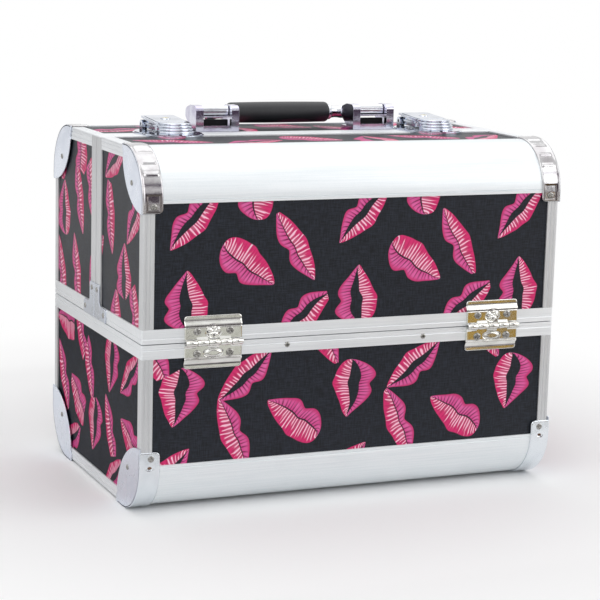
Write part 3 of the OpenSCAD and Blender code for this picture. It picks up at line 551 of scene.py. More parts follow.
print("frame sections")
alu = "satin_aluminium"
aluX, aluY = (aluMaterial("satinAluminium" + axis, axis, aluLook.level) for axis in "XY")
# upright pieces take the darker upright tones, painted shade; the curved sections take the bluer curve tones,
# painted light
aluZShaded = aluMaterial("satinAluminiumZ", "Z", aluLook.upright, case.top - 1.4)
aluCurveLit = aluMaterial("curvedAluminium", "X", aluLook.curve)
grooves = Settings(
    depth=0.42, half=0.42, rimAt=(3.6,), stripAt=(3.6, 7.2), postFaceAt=(2.9, 5.7), postSideAt=(2.4, 4.7),
    trimAt=(3.2, 6.2), curveAt=(2.4,))


# a face with V grooves at some places along it: (place, depth) pairs from 0 to its length
def grooved(length, places):
    rows = [(0.0, 0.0)]
    for at in places:
        rows += [(at - grooves.half, 0.0), (at, grooves.depth), (at + grooves.half, 0.0)]
    return rows + [(length, 0.0)]


# closed section of a channel as (inset, z or y): its grooved outer leg, its flange at the start, and its
# inner leg
def channelSection(width, places, start, sign):
    c = case
    section = [(depth, v) for v, depth in grooved(width, places)][::-1]
    section += [(c.channelIn, 0.0), (c.channelIn, c.rimInner), (c.wall, c.rimInner), (c.wall, c.alu),
                (c.alu, c.alu), (c.alu, width)]
    return [(inset, start + sign * v) for inset, v in section]


# L section with a rounded edge on the left side plane and at q: one grooved leg along x, one along sign * q
def angleSection(q, sign, legX, atX, legQ, atQ):
    t, a = case.alu, np.linspace(0, quarter, 5)
    level = grooved(legX, atX)[1:]
    upright = [(depth, v) for v, depth in grooved(legQ, atQ)][1:]
    edge = list(zip(t - t * np.cos(a), t - t * np.sin(a)))
    return [(left + x, q + sign * v) for x, v in upright[::-1] + edge + level + [(legX, t), (t, t), (t, legQ)]]


# The long curved section: a quarter circle in (y, z) with a fine groove near its edge on the face, and the
# two seats of the boards, set back a little so that no two faces share a plane.
def curvedPiece(centreZ, up):
    c, r, setBack = case, case.curveR, 0.02
    places, depths = np.array(grooved(r * quarter, grooves.curveAt)).T
    s = np.sort(np.concatenate([places, np.linspace(4.5, r * quarter - 4.5, 40)]))

    def arc(radius):
        return np.stack([front + r - radius * np.cos(s / r), centreZ + up * radius * np.sin(s / r)], -1)

    skin = prism(np.concatenate([arc(r - np.interp(s, places, depths)), arc(r - c.alu)[::-1]]), left, -left)
    x, into, top = left + c.wall, c.alu - 0.1, centreZ + up * r
    return joined([skin, block(x, -x, front + into, front + c.wall, centreZ + up * setBack, centreZ + up * c.alu),
                   block(x, -x, front + r - c.alu, front + r - setBack, top - up * c.wall, top - up * into)])


lidFoot = case.lidZ + case.rim
ringCorners = [(left, front), (-left, front), (-left, -front), (left, -front)]
makePiece("baseRimChannel", frameSweep(channelSection(case.rim, grooves.rimAt, case.baseZ, -1), ringCorners, True),
          "base", ["base_rim"], alu, aluX, bevel=0.18)
lidPath = [(left, -case.midY), (left, front), (-left, front), (-left, -case.midY)]
lidRim = frameSweep(channelSection(case.rim, grooves.rimAt, case.lidZ, 1), lidPath, False)
archPath = [(left, lidFoot), (left, case.top), (-left, case.top), (-left, lidFoot)]
arch = frameSweep(channelSection(case.strip, grooves.stripAt, -case.midY, -1), archPath, False)
strip = (arch[0][:, [0, 2, 1]], reversedFaces(arch[1]))  # swept in (x, z, y)
post = angleSection(front, 1, case.postFace, grooves.postFaceAt, case.postSide, grooves.postSideAt)
basePosts = leftAndRight(prism(post, case.lift + case.curveR, case.baseZ - case.rim, "Z"))
lidPosts = leftAndRight(prism(post, lidFoot, case.top - case.curveR, "Z"))
makeBasePair("baseCornerPosts", basePosts, ["base_posts"], alu, aluZShaded, bevel=0.12)


def sideTrim(z, sign, y0, y1):
    section = angleSection(z, sign, case.trim, grooves.trimAt, case.trim, grooves.trimAt)
    return leftAndRight(prism([(v, x) for x, v in section], y0, y1, "Y"))


run = front + case.curveR
makePiece("baseSideTrims", sideTrim(case.lift, 1, run, -run), "base", ["base_side_trims"], alu, aluY, bevel=0.12)
baseCurve, lidCurve = curvedPiece(case.lift + case.curveR, -1), curvedPiece(case.top - case.curveR, 1)
makeBasePair("baseCurvedSections", baseCurve, ["base_curves"], alu, aluCurveLit, smooth=25)
makeLidPair("LidCurvedSection", lidCurve, "curve", alu, aluCurveLit, smooth=25)
makeLidPair("LidRimChannel", lidRim, "rim", alu, aluX, bevel=0.18)
makeLidPair("LidCentreStrip", strip, "centre_strip", alu, aluZShaded, bevel=0.18)
makeLidPair("LidPosts", lidPosts, "posts", alu, aluZShaded, bevel=0.12)
makeLidPair("LidSideTrims", sideTrim(case.top, -1, run, -case.midY - case.strip), "trims", alu, aluY, bevel=0.12)

print("corner caps")
capSheet = Settings(
    fit=0.05, thick=1.0, band=14.0, cornerR=3.2, beadAt=1.15, beadHalf=0.55, ribInset=3.0, ribOutset=1.6,
    panelX=8.4, panelHalfX=4.7, panelUp=6.9, panelHalf=5.4, panelDeep=0.4, dimpleX=7.6, dimpleUp=11.0,
    dimpleHalfX=2.6, dimpleHalf=1.6, dimpleDeep=0.6, edgeR=0.35, foldDeep=0.45, foldWide=0.5, notch=1.4)
lidCap = Settings(leg=6.5, plateR=43.0, ribs=4, ribFrom=14.0, ribTo=58.0, ribH=0.68, ribHalf=2.2, beadH=0.32)
baseCap = Settings(leg=10.0, plateR=48.5, ribs=0, beadH=0.0)
capOut = capSheet.fit + capSheet.thick
capPlateLook = dict(color="dfe4ee", dull="d2d9e6", roughness=0.24, ripple=0.08)
baseBandLook = dict(color="e9eef2", dull="d3dae0", roughness=0.17)
# the band's dull patches are dark purple-grey: partly real dullness, partly painted shade
lidBandLook = dict(color="cacacb", dull="897e84", roughness=0.08, ripple=0.25, waveScale=160.0, shadeTone="3d2c22")
braceShape = Settings(
    thick=1.0, reach=25.0, height=25.0, foot=10.0, post=11.0, fillet=3.5, heelR=0.3, postR=1.5, toeR=2.0)


# painted shade in the pressed frame round the screw of a lid's corner cap
def capFrameShade(net, p):
    x, y, z = net.xyz(p)
    k = capSheet
    fromMiddle = (x.abs() * (1 / mm) - (capOut - left - k.panelX)).abs() - k.panelHalfX
    fromHeight = (z * (1 / mm) - (case.top - case.curveR - lidCap.leg + k.panelUp)).abs() - k.panelHalf
    return shadeLine(fromMiddle.max(fromHeight) - 0.1, 0.8) * 0.9


# The band of a cap in the upper front left corner, drawn with that corner at y 0, z 0: a straight leg, the
# quarter circle and a second leg. Its height is the sum of a bead along the outer edge and the cross ribs
# (raised cosines), less a pressed panel round the screw or, on a plain cap, less an oval dimple.
def capBand(s):
    k, r = capSheet, case.curveR
    width, arc = k.band + capOut, r * quarter
    total = arc + 2 * s.leg
    t = np.linspace(0, total, 150)[:, None]
    fromEnd = np.minimum(t, total - t)
    xs = np.concatenate([[0, 0.25, 0.6, 1.0, 1.4, 1.8, 2.3], np.linspace(3.0, width, 22)])[None]
    x = xs * (width - cornerCut(k.cornerR, fromEnd)) / width
    h = s.beadH * bellCurve(x, k.beadAt, k.beadHalf)
    if s.ribs:
        across = smoothRise(np.clip((x - k.ribInset) / 0.8, 0, 1) * np.clip((width - k.ribOutset - x) / 0.8, 0, 1))
        for degrees in np.linspace(s.ribFrom, s.ribTo, s.ribs):
            at = s.leg + arc - math.radians(degrees) * r
            h = h + s.ribH * np.cos(np.clip((t - at) / s.ribHalf, -1, 1) * quarter) ** 2 * across
        panel = np.maximum(np.abs(x - k.panelX) - k.panelHalfX, np.abs(t - k.panelUp) - k.panelHalf)
        h = h - k.panelDeep * softFall(panel, 9)
    else:
        oval = ((x - k.dimpleX) / k.dimpleHalfX) ** 2 + ((t - k.dimpleUp) / k.dimpleHalf) ** 2
        h = h - k.dimpleDeep * np.exp(-oval ** 2)
    h = h - np.minimum(edgeFall(fromEnd, k.edgeR) + edgeFall(width - xs, k.edgeR), 1) * k.edgeR
    h = h - k.foldDeep * edgeFall(x, k.foldWide) ** 2
    angle = np.clip((t - s.leg) / r, 0, quarter)
    y = r - r * np.cos(angle) + np.maximum(t - s.leg - arc, 0)
    z = -r + r * np.sin(angle) + np.minimum(t - s.leg, 0)

    def skin(height):
        return np.stack([left - capOut + x, y - np.cos(angle) * height, z + np.sin(angle) * height], -1)

    return slab(skin(capOut + h), skin(np.full_like(x, k.fit)))


# the side plate of the same cap: it follows the case's corner and returns on an arc with a small notch at the
# top
def capPlate(s):
    r, e, end = case.curveR, capOut - 0.08, s.plateR * 0.998
    a, b = np.linspace(0, quarter, 26), np.linspace(quarter - 0.03, 0.03, 34)
    corner = np.stack([r - (r + e) * np.cos(a), (r + e) * np.sin(a) - r], -1)
    back = s.plateR * np.stack([np.sin(b), -np.cos(b)], -1)
    back[2:4, 0] -= capSheet.notch
    return prism(np.concatenate([[(-e, -end)], corner, [(end, e)], back]), left - capOut, left - capSheet.fit)


def atCorners(part, z, up=True):
    return leftAndRight(moved(part if up else mirrored(part, 2), (0, front, z)))


# brace at the middle joint: an L with a small hollow corner between its leg and its foot
def brace():
    b, y = braceShape, -case.midY
    corners = [(y, 0.0), (y, b.height), (y - b.post, b.height), (y - b.post, b.foot), (y - b.reach, b.foot),
               (y - b.reach, 0.0)]
    outline = rounded(corners, [b.heelR, b.heelR, b.postR, b.fillet, b.toeR, b.heelR])
    return leftAndRight(moved(prism(outline, left - b.thick, left), (0, 0, case.lidZ)))


capPlateChrome = chromeMaterial("cornerCapPlate", **capPlateLook)
baseBandChrome = chromeMaterial("plainCapBand", **baseBandLook)
# the lid's cap bands carry painted shade in the frame round their screw
lidBandChrome = chromeMaterial("cornerCapBand", shadeMask=capFrameShade, **lidBandLook)
baseBands, basePlates = (atCorners(shape(baseCap), case.lift, False) for shape in (capBand, capPlate))
makeBasePair("baseCapBands", baseBands, ["base_corner_caps"], "chrome", baseBandChrome, smooth=60)
makeBasePair("baseCapPlates", basePlates, ["base_corner_caps"], "chrome", capPlateChrome, bevel=0.3)
makeLidPair("LidCapBands", atCorners(capBand(lidCap), case.top), "caps", "chrome", lidBandChrome, smooth=60)
makeLidPair("LidCapPlates", atCorners(capPlate(lidCap), case.top), "caps", "chrome", capPlateChrome, bevel=0.3)
makeLidPair("LidBraces", brace(), "braces", "chrome", capPlateChrome, bevel=0.3)

print("hinges and screws")
# reliefs of a leaf are rows of (place, half width, rise)
hinge = Settings(
    x=108.5, width=42.0, height=18.5, thick=1.2, knuckleR=2.3, bore=1.4, out=2.9, bendLow=12.2, bendHigh=14.8,
    foot=2.4, cornerR=2.4, knuckles=5, gap=0.3, rosetteZ=7.6, petals=5, petalR=4.4, petalH=0.75,
    rosetteRings=((1.1, 0.55, -0.45), (5.2, 0.45, -0.35)), ovalX=5.8, ovalZ=2.7, ovalH=0.55,
    ovalRing=(1.12, 0.10, -0.35), folds=((15.3, 0.3, -0.25), (11.7, 0.6, 0.3), (10.8, 0.3, -0.3)), edgeR=0.4,
    edgeDrop=0.3, web=((0.0, 0.0), (0.0, 3.9), (-1.2, 3.9), (-2.3, 2.2), (-1.4, 0.0)))
hingeLook = dict(color="e9e9e5", dull="b5b3a9", roughness=0.09, ripple=0.15, waveScale=120.0, shadeTone="33202b")
screws = Settings(
    headR=2.7, headH=1.3, slot=0.42, slotDepth=0.75, hingeX=12.0, hingeZ=7.8, capR=2.3, capH=0.91, capX=8.4,
    capIn=4.6, sideR=1.9, sideH=0.7, rivetR=1.9, rivetH=0.7, rivetHole=0.5, rivetX=53.0, baseRivetUp=30.0,
    ovalX=6.6, ovalIn=11.0)
steelLook = dict(dark="85837f", light="b9b8b5", roughness=0.22, metallic=1.0, bump=0.1)
# the dark brown of the oval heads in the lower caps' dimples is painted shade
dimpleShadeLook = dict(dark="4a3226", light="8d6f5c", roughness=0.25, metallic=0.8, bump=0.1)


# painted shade in the folds of a hinge leaf, which run level above and below the joint
def hingeFoldShade(net, p):
    up = (net.xyz(p)[2] - case.seam * mm) * (1 / mm)
    far, isLid = up.abs(), up > 0.0
    nearFold = shadeLine(far - 11.3, 0.75) * (0.3 + isLid * 0.65)
    return (nearFold + shadeLine(far - 15.5, 0.6) * (0.95 - isLid * 0.35)).clip()


# A leaf over its pin: y steps from the channel's face to the board's, smoothed over the bend, plus pressed
# lines above it; the middle carries a five-petalled rosette on the lid's leaf and an oval hollow on the
# base's.
def hingeLeaf(isLid):
    h = hinge
    z = np.concatenate([np.linspace(h.foot, 11.4, 34), np.linspace(11.7, h.height, 26)])
    z, u = np.meshgrid(z, np.linspace(-1, 1, 76), indexing="ij")
    x = u * (h.width / 2 - cornerCut(h.cornerR, h.height - z))
    step = smoothRise((z - h.bendLow) / (h.bendHigh - h.bendLow)) * h.thick
    fromZ = z - h.rosetteZ
    if isLid:
        rho, phi = np.hypot(x, fromZ * 1.15), np.arctan2(fromZ, x)
        petals = 0.5 + 0.5 * np.cos(h.petals * phi - quarter) * np.clip(rho / 1.4, 0, 1)
        relief = h.petalH * np.exp(-(rho / h.petalR) ** 4) * petals
        relief += sum(rise * bellCurve(rho, at, half) for at, half, rise in h.rosetteRings)
    else:
        oval = np.hypot(x / h.ovalX, fromZ / h.ovalZ)
        relief = h.ovalH * softFall(oval - 0.86, 14) + h.ovalRing[2] * bellCurve(oval, *h.ovalRing[:2])
    relief += sum(rise * bellCurve(z, at, half) for at, half, rise in h.folds)
    relief -= h.edgeDrop * edgeFall(np.minimum((1 - np.abs(u)) * h.width / 2, h.height - z), h.edgeR) ** 2
    outer = np.stack([x, front - h.thick + step - relief, z], -1)
    inner = np.stack([x, front + np.where(z > 10.4, step, 0.0), z], -1)
    parts = [slab(outer[:, ::-1], inner[:, ::-1])]
    segment = h.width / h.knuckles
    web = rounded(np.array(h.web) + [front, 0.0], 0.2)
    for i in range(isLid, h.knuckles, 2):
        x0 = -h.width / 2 + i * segment + h.gap / 2
        x1 = x0 + segment - h.gap
        parts.append(lathe(drum(h.bore, h.knuckleR, x0, x1, 0.35), "X", (0, front - h.out, 0), 28))
        parts.append(prism(web, x0, x1))
    return joined(parts)


def atHinges(part):
    return joined([moved(part, (s * hinge.x, 0, case.seam)) for s in (-1, 1)])


# a domed screw head on the front face: its height falls with the square of the radius, less a crossed recess
def screwHead(radius, height, turn=20.0):
    s = screws
    rings = np.concatenate([np.linspace(0.02, 0.8, 12), [0.88, 0.95, 1.0, 1.0]]) * radius
    r, a = np.meshgrid(rings, np.linspace(0, 2 * np.pi, 56, endpoint=False), indexing="ij")
    h = height * (1 - 0.5 * (r / radius) ** 2)
    h[-2:] = [[height * 0.42], [0.0]]
    x, z = r * np.cos(a + math.radians(turn)), r * np.sin(a + math.radians(turn))
    fromCross = np.minimum(np.abs(x), np.abs(z)) - s.slot * radius / s.headR
    h = h - softFall(fromCross, 16) * (r < radius * 0.7) * s.slotDepth * height / s.headH
    points = np.stack([r * np.cos(a), -h, r * np.sin(a)], -1).reshape(-1, 3)
    return points, gridFaces(*r.shape, closeColumns=True) + [list(range(r.shape[1]))[::-1]]


def hingeScrews(up):
    s, y = screws, front - hinge.thick
    return joined([moved(screwHead(s.headR, s.headH, 20 + 37 * t + 11 * side),
                         (side * hinge.x + t * s.hingeX, y, case.seam + up * s.hingeZ))
                   for side in (-1, 1) for t in (-1, 1)])


def capScrews(z):
    head = screwHead(screws.capR, screws.capH)
    return leftAndRight(moved(head, (left + screws.capX - capOut, front - capOut + 0.2, z)))


# a screw on the side wall, out from its face
def sideScrews(y, z, out):
    points, faces = screwHead(screws.sideR, screws.sideH, 5.0)
    return leftAndRight(moved((points[:, [1, 0, 2]], reversedFaces(faces)), (left - out, y, z)))


# blind rivets: a dome whose middle is an open hole
def rimRivets(z):
    r, h, hole = screws.rivetR, screws.rivetH, screws.rivetHole
    head = lathe([(0.0, -0.05), (hole, -0.05), (hole + 0.1, h * 0.9), (hole + 0.45, h), (r * 0.8, h * 0.75),
                  (r, h * 0.2), (r, 0.0), (0.0, 0.0)], "Y", steps=28)
    return joined([moved(mirrored(head, 1), (s * screws.rivetX, front, z)) for s in (-1, 1)])


# small dark brown oval heads in the dimples of the lower caps, which darken the dimples: painted shade
def capOvals(z):
    points, faces = lathe([(0.0, 0.0), (0.9, 0.0), (1.3, -0.25), (1.4, -0.5), (0.0, -0.5)], "Y", steps=28)
    oval = (points * [1.25, -1.0, 0.8], reversedFaces(faces))
    return leftAndRight(moved(oval, (left + screws.ovalX, front - 0.75, z)))


# the hinge leaves carry painted shade along their folds
hingeChrome = chromeMaterial("hingeChrome", shadeMask=hingeFoldShade, **hingeLook)
steel = grainMaterial("platedSteel", **steelLook)
dimpleShadeSteel = grainMaterial("dimpleShadeBrown", **dimpleShadeLook)
halfPlate, braceY = lidCap.plateR / 2, -case.midY - case.strip / 2
lidScrews = joined([hingeScrews(1), capScrews(case.top - case.curveR - lidCap.leg + screws.capIn),
                    sideScrews(front + halfPlate, case.top - halfPlate - 2.5, capOut),
                    sideScrews(braceY, case.lidZ + braceShape.height - 4, braceShape.thick),
                    sideScrews(4 - case.midY - braceShape.reach, case.lidZ + case.rim / 2, braceShape.thick)])
makeLidPair("LidScrews", lidScrews, "screws", "steel", steel, smooth=50)
makeLidPair("HingeLeaves", atHinges(hingeLeaf(1)), "hinge_leaves", "chrome", hingeChrome, smooth=50)
capEnd = case.lift + case.curveR + baseCap.leg
baseLeaves = atHinges(mirrored(hingeLeaf(0), 2))
baseScrews = joined([hingeScrews(-1), capScrews(capEnd - screws.capIn)])
baseRivets = joined([rimRivets(case.baseZ - case.rim / 2),
                     sideScrews(front + baseCap.plateR / 2, case.lift + screws.baseRivetUp, capOut)])
makeBasePair("baseHingeLeaves", baseLeaves, ["hinge_base_leaves"], "chrome", hingeChrome, smooth=50)
makeBasePair("baseScrews", baseScrews, ["base_screws"], "steel", steel, smooth=50)
makeBasePair("baseRivets", baseRivets, ["base_rivets"], "steel", steel, smooth=50)
makeBasePair("baseCapOvals", capOvals(capEnd - screws.ovalIn), [], "steel", dimpleShadeSteel, smooth=50)

print("latches")
# plate layers are (inset, from, to), the strike's tiers (radius, from, to), all heights over the case's top
latch = Settings(
    x=105.0, plateW=44.0, rearD=33.0, frontD=28.0, layers=((0.0, 0.0, 0.7), (1.3, 0.7, 1.5)), haspW=26.0,
    front=-8.0, back=29.2, frontR=5.0, backR=3.0, middleY=9.0, pinY=27.0, pinZ=5.2, knuckleR=3.0, bore=1.3,
    top=11.5, tilt=2.2, lugW=4.0, lugY=24.0, lugEnd=30.0, lugTop=8.2, gap=0.6,
    tiers=((14.6, 1.5, 3.5), (13.9, 3.5, 5.5), (13.0, 5.5, 7.5), (11.8, 7.5, 9.4)), hollowR=8.6, hollowZ=6.2)
housing = Settings(
    inset=2.6, front=0.8, back=21.6, frontR=4.0, backR=1.0, slot=4.4, foot=2.4, boltTop=5.3, top=8.6, bandTop=6.7,
    bandOut=1.0)
lock = Settings(
    y=10.0, plug=((0.0, 6.1), (2.7, 6.1), (2.7, 10.6), (2.5, 10.8), (2.2, 10.8), (2.1, 10.6), (0.0, 10.6)),
    ring=((2.75, 9.6), (2.75, 10.6), (3.0, 10.85), (3.5, 10.8), (3.8, 10.4), (3.8, 9.6), (2.75, 9.6)), cheekR=2.0,
    cheekTurn=1.25, slot=0.5, cheekLow=10.55, cheekTop=10.95)
latchLook = dict(color="d6dbe5", dull="9aa0ac", roughness=0.08, ripple=0.15, waveScale=120.0)
brassLook = dict(dark="d3c67e", light="ebe3ad", roughness=0.22, metallic=1.0, bump=0.1)


# a rectangle in (x, y) or (y, z) with its corners rounded, first the two near corners, then the two far ones
def roundedBox(p0, p1, q0, q1, radii, steps=6):
    return rounded([(p0, q0), (p1, q0), (p1, q1), (p0, q1)], radii, steps)


# Half of an eye: the part of a circle cut off by the middle plane, its rim rolled a little, and turned down
# to the board past the edge of the strip.
def eyePlate(depth, sign):
    s = latch
    r = (s.plateW ** 2 / 4 + depth ** 2) / (2 * depth)
    reach = math.pi - math.asin(s.plateW / 2 / r)
    a = np.linspace(-reach, reach, 48)
    outline = np.stack([r * np.sin(a), depth - r + r * np.cos(a)], -1)

    def layer(points, z0, z1):
        return prism(points * [1, sign] + [0, sign * case.midY], case.top + z0, case.top + z1, "Z")

    past = case.strip + 0.1
    skirt = outline[outline[:, 1] > past]
    skirt = np.concatenate([[(skirt[0, 0], past)], skirt, [(skirt[-1, 0], past)]])
    return joined([layer(outline * (1 - inset / depth), z0, z1) for inset, z0, z1 in s.layers]
                  + [layer(skirt, -case.alu, 0.05)])


# The strike: a profile of four rolled lips, each smaller than the one below, turned through half a circle in
# front of the hasp and cut off at the hasp's width; it is hollow behind, where the bolt enters.
def strikeShape():
    s = latch
    profile = []
    for r, low, high in s.tiers:
        profile += [(r - 0.9, low), (r - 0.9, low + 0.4), (r - 0.2, low + 0.55), (r, low + 0.9), (r, high - 0.5),
                    (r - 0.2, high - 0.12), (r - 0.55, high)]
    profile += [(4.0, high + 0.1), (0.0, high + 0.1), (0.0, s.hollowZ), (s.hollowR, s.hollowZ),
                (s.hollowR, s.tiers[0][1])]
    r, z = np.array(profile).T
    n, rows = len(profile), 49
    a = np.linspace(math.pi, 2 * math.pi, rows)[:, None]
    half = s.haspW / 2 - 0.1
    x = np.clip(r * np.cos(a), -half, half)
    points = np.stack([x, s.front - s.gap + r * np.sin(a), np.broadcast_to(case.top + z, x.shape)], -1)
    last = (rows - 1) * n
    ends = [list(range(n)), list(range(last, last + n))[::-1]]
    return points.reshape(-1, 3), gridFaces(rows, n, closeColumns=True) + ends


# The hasp: a plate with round corners that rises evenly from front to back, its housing with a slot for the
# bolt, the knuckle with its web, and the ring round the lock.
def haspShape():
    s, k, z, half = latch, housing, case.top, latch.haspW / 2
    outline = roundedBox(-half, half, s.front, s.back, [s.frontR, s.frontR, s.backR, s.backR], 8)
    middle = np.array([0.0, s.middleY])
    layers = ((1.0, 1.0, -1.3, 0.0), (0.86, 0.88, -0.01, 0.35), (0.90, 0.92, -2.4, -1.29))
    plate, faces = joined([prism((outline - middle) * [kx, ky] + middle, z0, z1, "Z") for kx, ky, z0, z1 in layers])
    rise = (plate[:, 1] - s.front) / (s.back - s.front)
    plate[:, 2] += z + s.top - 0.35 - s.tilt * (1 - rise)
    wide = half - k.inset
    roof = roundedBox(-wide, wide, k.front, k.back, [k.frontR, k.frontR, k.backR, k.backR])
    parts = [(plate, faces), prism(roof, z + k.boltTop, z + k.top, "Z")]
    for side in (-1, 1):
        wall = roundedBox(side * k.slot, side * wide, k.front, k.back, [0.2, k.frontR, k.backR, 0.2])
        parts.append(prism(wall, z + k.foot, z + k.boltTop + 0.05, "Z"))
    wide, bandR = wide + k.bandOut, k.frontR + 0.6
    band = roundedBox(-wide, wide, k.front, k.back + 0.4, [bandR, bandR, k.backR, k.backR])
    parts.append(prism(band, z + k.boltTop, z + k.bandTop, "Z"))
    barrel = half - s.lugW - 0.4
    parts.append(lathe(drum(s.bore, s.knuckleR, -barrel, barrel, 0.4), "X", (0, s.pinY, z + s.pinZ), 32))
    parts.append(prism(roundedBox(22.0, 29.0, z + 6.0, z + 9.6, 0.4, 5), -barrel, barrel))
    return joined(parts + [lathe(lock.ring, "Z", (0, lock.y, z), 40)])


# The lock cylinder: a turned brass plug with a bevelled rim and a key slot between two raised cheeks.
def cylinderShape():
    k, z = lock, case.top
    parts = [lathe(k.plug, "Z", (0, k.y, z), 40)]
    a = np.linspace(-k.cheekTurn, k.cheekTurn, 16)
    for side in (-1, 1):
        cheek = np.stack([side * np.maximum(k.cheekR * np.cos(a), k.slot), k.cheekR * np.sin(a) + k.y], -1)
        parts.append(prism(cheek, z + k.cheekLow, z + k.cheekTop, "Z"))
    return joined(parts)


def atLatches(part):
    return joined([moved(part, (s * latch.x, 0, 0)) for s in (-1, 1)])


latchChrome = chromeMaterial("latchChrome", **latchLook)
brass = grainMaterial("lockBrass", **brassLook)
makePiece("latchStrikes", atLatches(joined([eyePlate(latch.frontD, -1), strikeShape()])), "front_lid",
          ["latch_strikes"], "chrome", latchChrome, smooth=55)
lugOutline = roundedBox(latch.lugY, latch.lugEnd, case.top + 1.5, case.top + latch.lugTop, [0.3, 0.3, 2.9, 2.9], 8)
lugs = [prism(lugOutline, s * (latch.haspW / 2 - latch.lugW), s * latch.haspW / 2) for s in (-1, 1)]
makePiece("latchBasePlates", atLatches(joined([eyePlate(latch.rearD, 1)] + lugs)), "rear_lid", ["latch_bases"],
          "chrome", latchChrome, bevel=0.15)
for side, s in (("left", -1), ("right", 1)):
    hasp, cylinder = (moved(shape(), (s * latch.x, 0, 0)) for shape in (haspShape, cylinderShape))
    makePiece(side + "HaspPlate", hasp, side + "_hasp", [side + "_hasp"], "chrome", latchChrome, bevel=0.3)
    makePiece(side + "LockCylinder", cylinder, side + "_key", [side + "_key_cylinder"], "brass", brass, bevel=0.12)

print("handle")
bracketShape = Settings(
    x0=46.5, x1=80.5, y0=12.0, y1=35.0, high=19.0, cheek=6.0, foot=2.0, windowLow=4.3, windowHigh=10.4, beam=1.1,
    boss=((0.0, 0.0), (1.2, 0.0), (1.3, -0.4), (2.2, -0.4), (2.5, -0.1), (2.5, 0.0)))
bail = Settings(
    x0=52.9, x1=74.1, pinY=21.0, pinZ=14.0, barrelR=3.8, bore=2.05, armW=7.0, armT=5.0, gripY=50.0, gripZ=10.5,
    neckR=5.0, gripR=8.0, gripHalf=41.0, gripRoll=2.6, gripBore=3.06, rodR=3.0, rodMore=0.4)
pad = Settings(x0=54.0, x1=73.0, y0=15.9, y1=19.6, high=9.8, edge=0.8)
# the bracket's dull patches are violet: partly real dullness, partly painted reflection
bracketLook = dict(color="d6d6e2", dull="9483b4", roughness=0.08, ripple=0.2, waveScale=110.0)
chromeLook = dict(color="e6e8ec", dull="a9acb4", roughness=0.07)
gripLook = dict(dark="1b1c1f", light="26272b", roughness=0.4, scale=900.0, bump=0.5)
padLook = dict(dark="0b0b0d", light="141417", roughness=0.75, scale=900.0, bump=0.4, specular=0.2)


# A bracket on the right: two cheeks cut away at the back below, their feet on the board, two bars round the
# window between them, and a round boss with the pin's head on either side.
def bracket():
    b, z, y = bracketShape, case.top, bracketShape.y0
    cheek = rounded([(y, z), (y + 11.0, z), (y + 13.0, z + b.foot + 1.0), (b.y1, z + 9.5), (b.y1, z + b.high - 3.0),
                     (y + 13.0, z + b.high), (y, z + b.high)], [0.2, 0.5, 3.0, 3.0, 5.0, 7.0, 4.2], 8)
    parts = []
    for x, s in ((b.x0, 1), (b.x1, -1)):
        parts.append(prism(cheek, x, x + s * b.cheek))
        parts.append(block(x + s * 0.6, x + s * (b.cheek + 1.5), y + 0.2, b.y1, z - case.alu, z + b.foot))
        points, faces = lathe(b.boss, "X", (0, bail.pinY, z + bail.pinZ), 28)
        parts.append((points * [-s, 1, 1] + [x + s * 0.02, 0, 0], faces))
    for low, high in ((0.0, b.windowLow), (b.windowHigh, b.windowHigh + b.beam)):
        parts.append(block(b.x0 + b.cheek - 0.2, b.x1 - b.cheek + 0.2, y + 0.1, y + b.foot, z + low, z + high))
    return joined(parts)


# One end of the bail on the right: barrel with a flat-topped hood, tongue and arm, and the turned neck by the
# grip.
def bailEnd():
    b, z, t, n, g = bail, case.top, bail.armT / 2, bail.neckR, bail.gripHalf
    armX = b.x0 + b.armW
    drop, run = b.pinZ - b.gripZ, b.gripY - b.pinY
    reach = math.hypot(drop, run)
    barrel = lathe(drum(b.bore, b.barrelR, b.x0, b.x1, 0.4), "X", (0, b.pinY, z + b.pinZ), 36)
    tongue = rounded([(b.x0, 1.5), (b.x1, 1.5), (b.x1, 10.5), (armX, 15.5), (armX, reach), (b.x0, reach)],
                     [0.2, 0.2, 3.0, 5.0, 0.2, 3.0], 8)
    hood = rounded([(-4.7, 0.6), (-2.6, 4.3), (4.0, 4.4), (9.0, t), (9.0, 0.5)], [0.8, 1.2, 2.0, 0.3, 0.3])
    points, faces = joined([prism(tongue, -t, t, "Z"), prism(hood, b.x0 + 0.3, b.x1 - 0.3)])
    tilt = np.array(Matrix.Rotation(-math.atan2(drop, run), 3, "X"))
    neck = [(0.0, g - 0.5), (n - 0.6, g - 0.5), (n + 0.9, g + 0.2), (n + 0.9, g + 2.2), (n - 0.1, g + 3.0),
            (n - 0.6, g + 6.5), (n - 0.5, g + 9.0), (n, g + 11.5), (n, armX - 1.0), (n - 1.0, armX), (0.0, armX)]
    return joined([barrel, moved((points @ tilt.T, faces), (0, b.pinY, z + b.pinZ)),
                   lathe(neck, "X", (0, b.gripY, z + b.gripZ), 40)])


# The grip: its radius falls off with the square of the distance from the middle and rolls in at the ends.
def gripShape():
    b = bail
    t = np.linspace(-1, 1, 60)
    x = np.sign(t) * (1 - (1 - np.abs(t)) ** 1.6) * b.gripHalf
    end = np.clip((np.abs(x) - b.gripHalf + b.gripRoll) / b.gripRoll, 0, 1)
    r = b.gripR - 0.35 * (x / b.gripHalf) ** 2 - 2.0 * (1 - np.sqrt(np.clip(1 - end ** 2, 0, 1)))
    return [(b.gripBore, x[0] + 0.1), *zip(r, x), (b.gripBore, x[-1] - 0.1)]


# a profile turned round the grip's axis
def roundGrip(profile, steps):
    return lathe(profile, "X", (0, bail.gripY, case.top + bail.gripZ), steps)


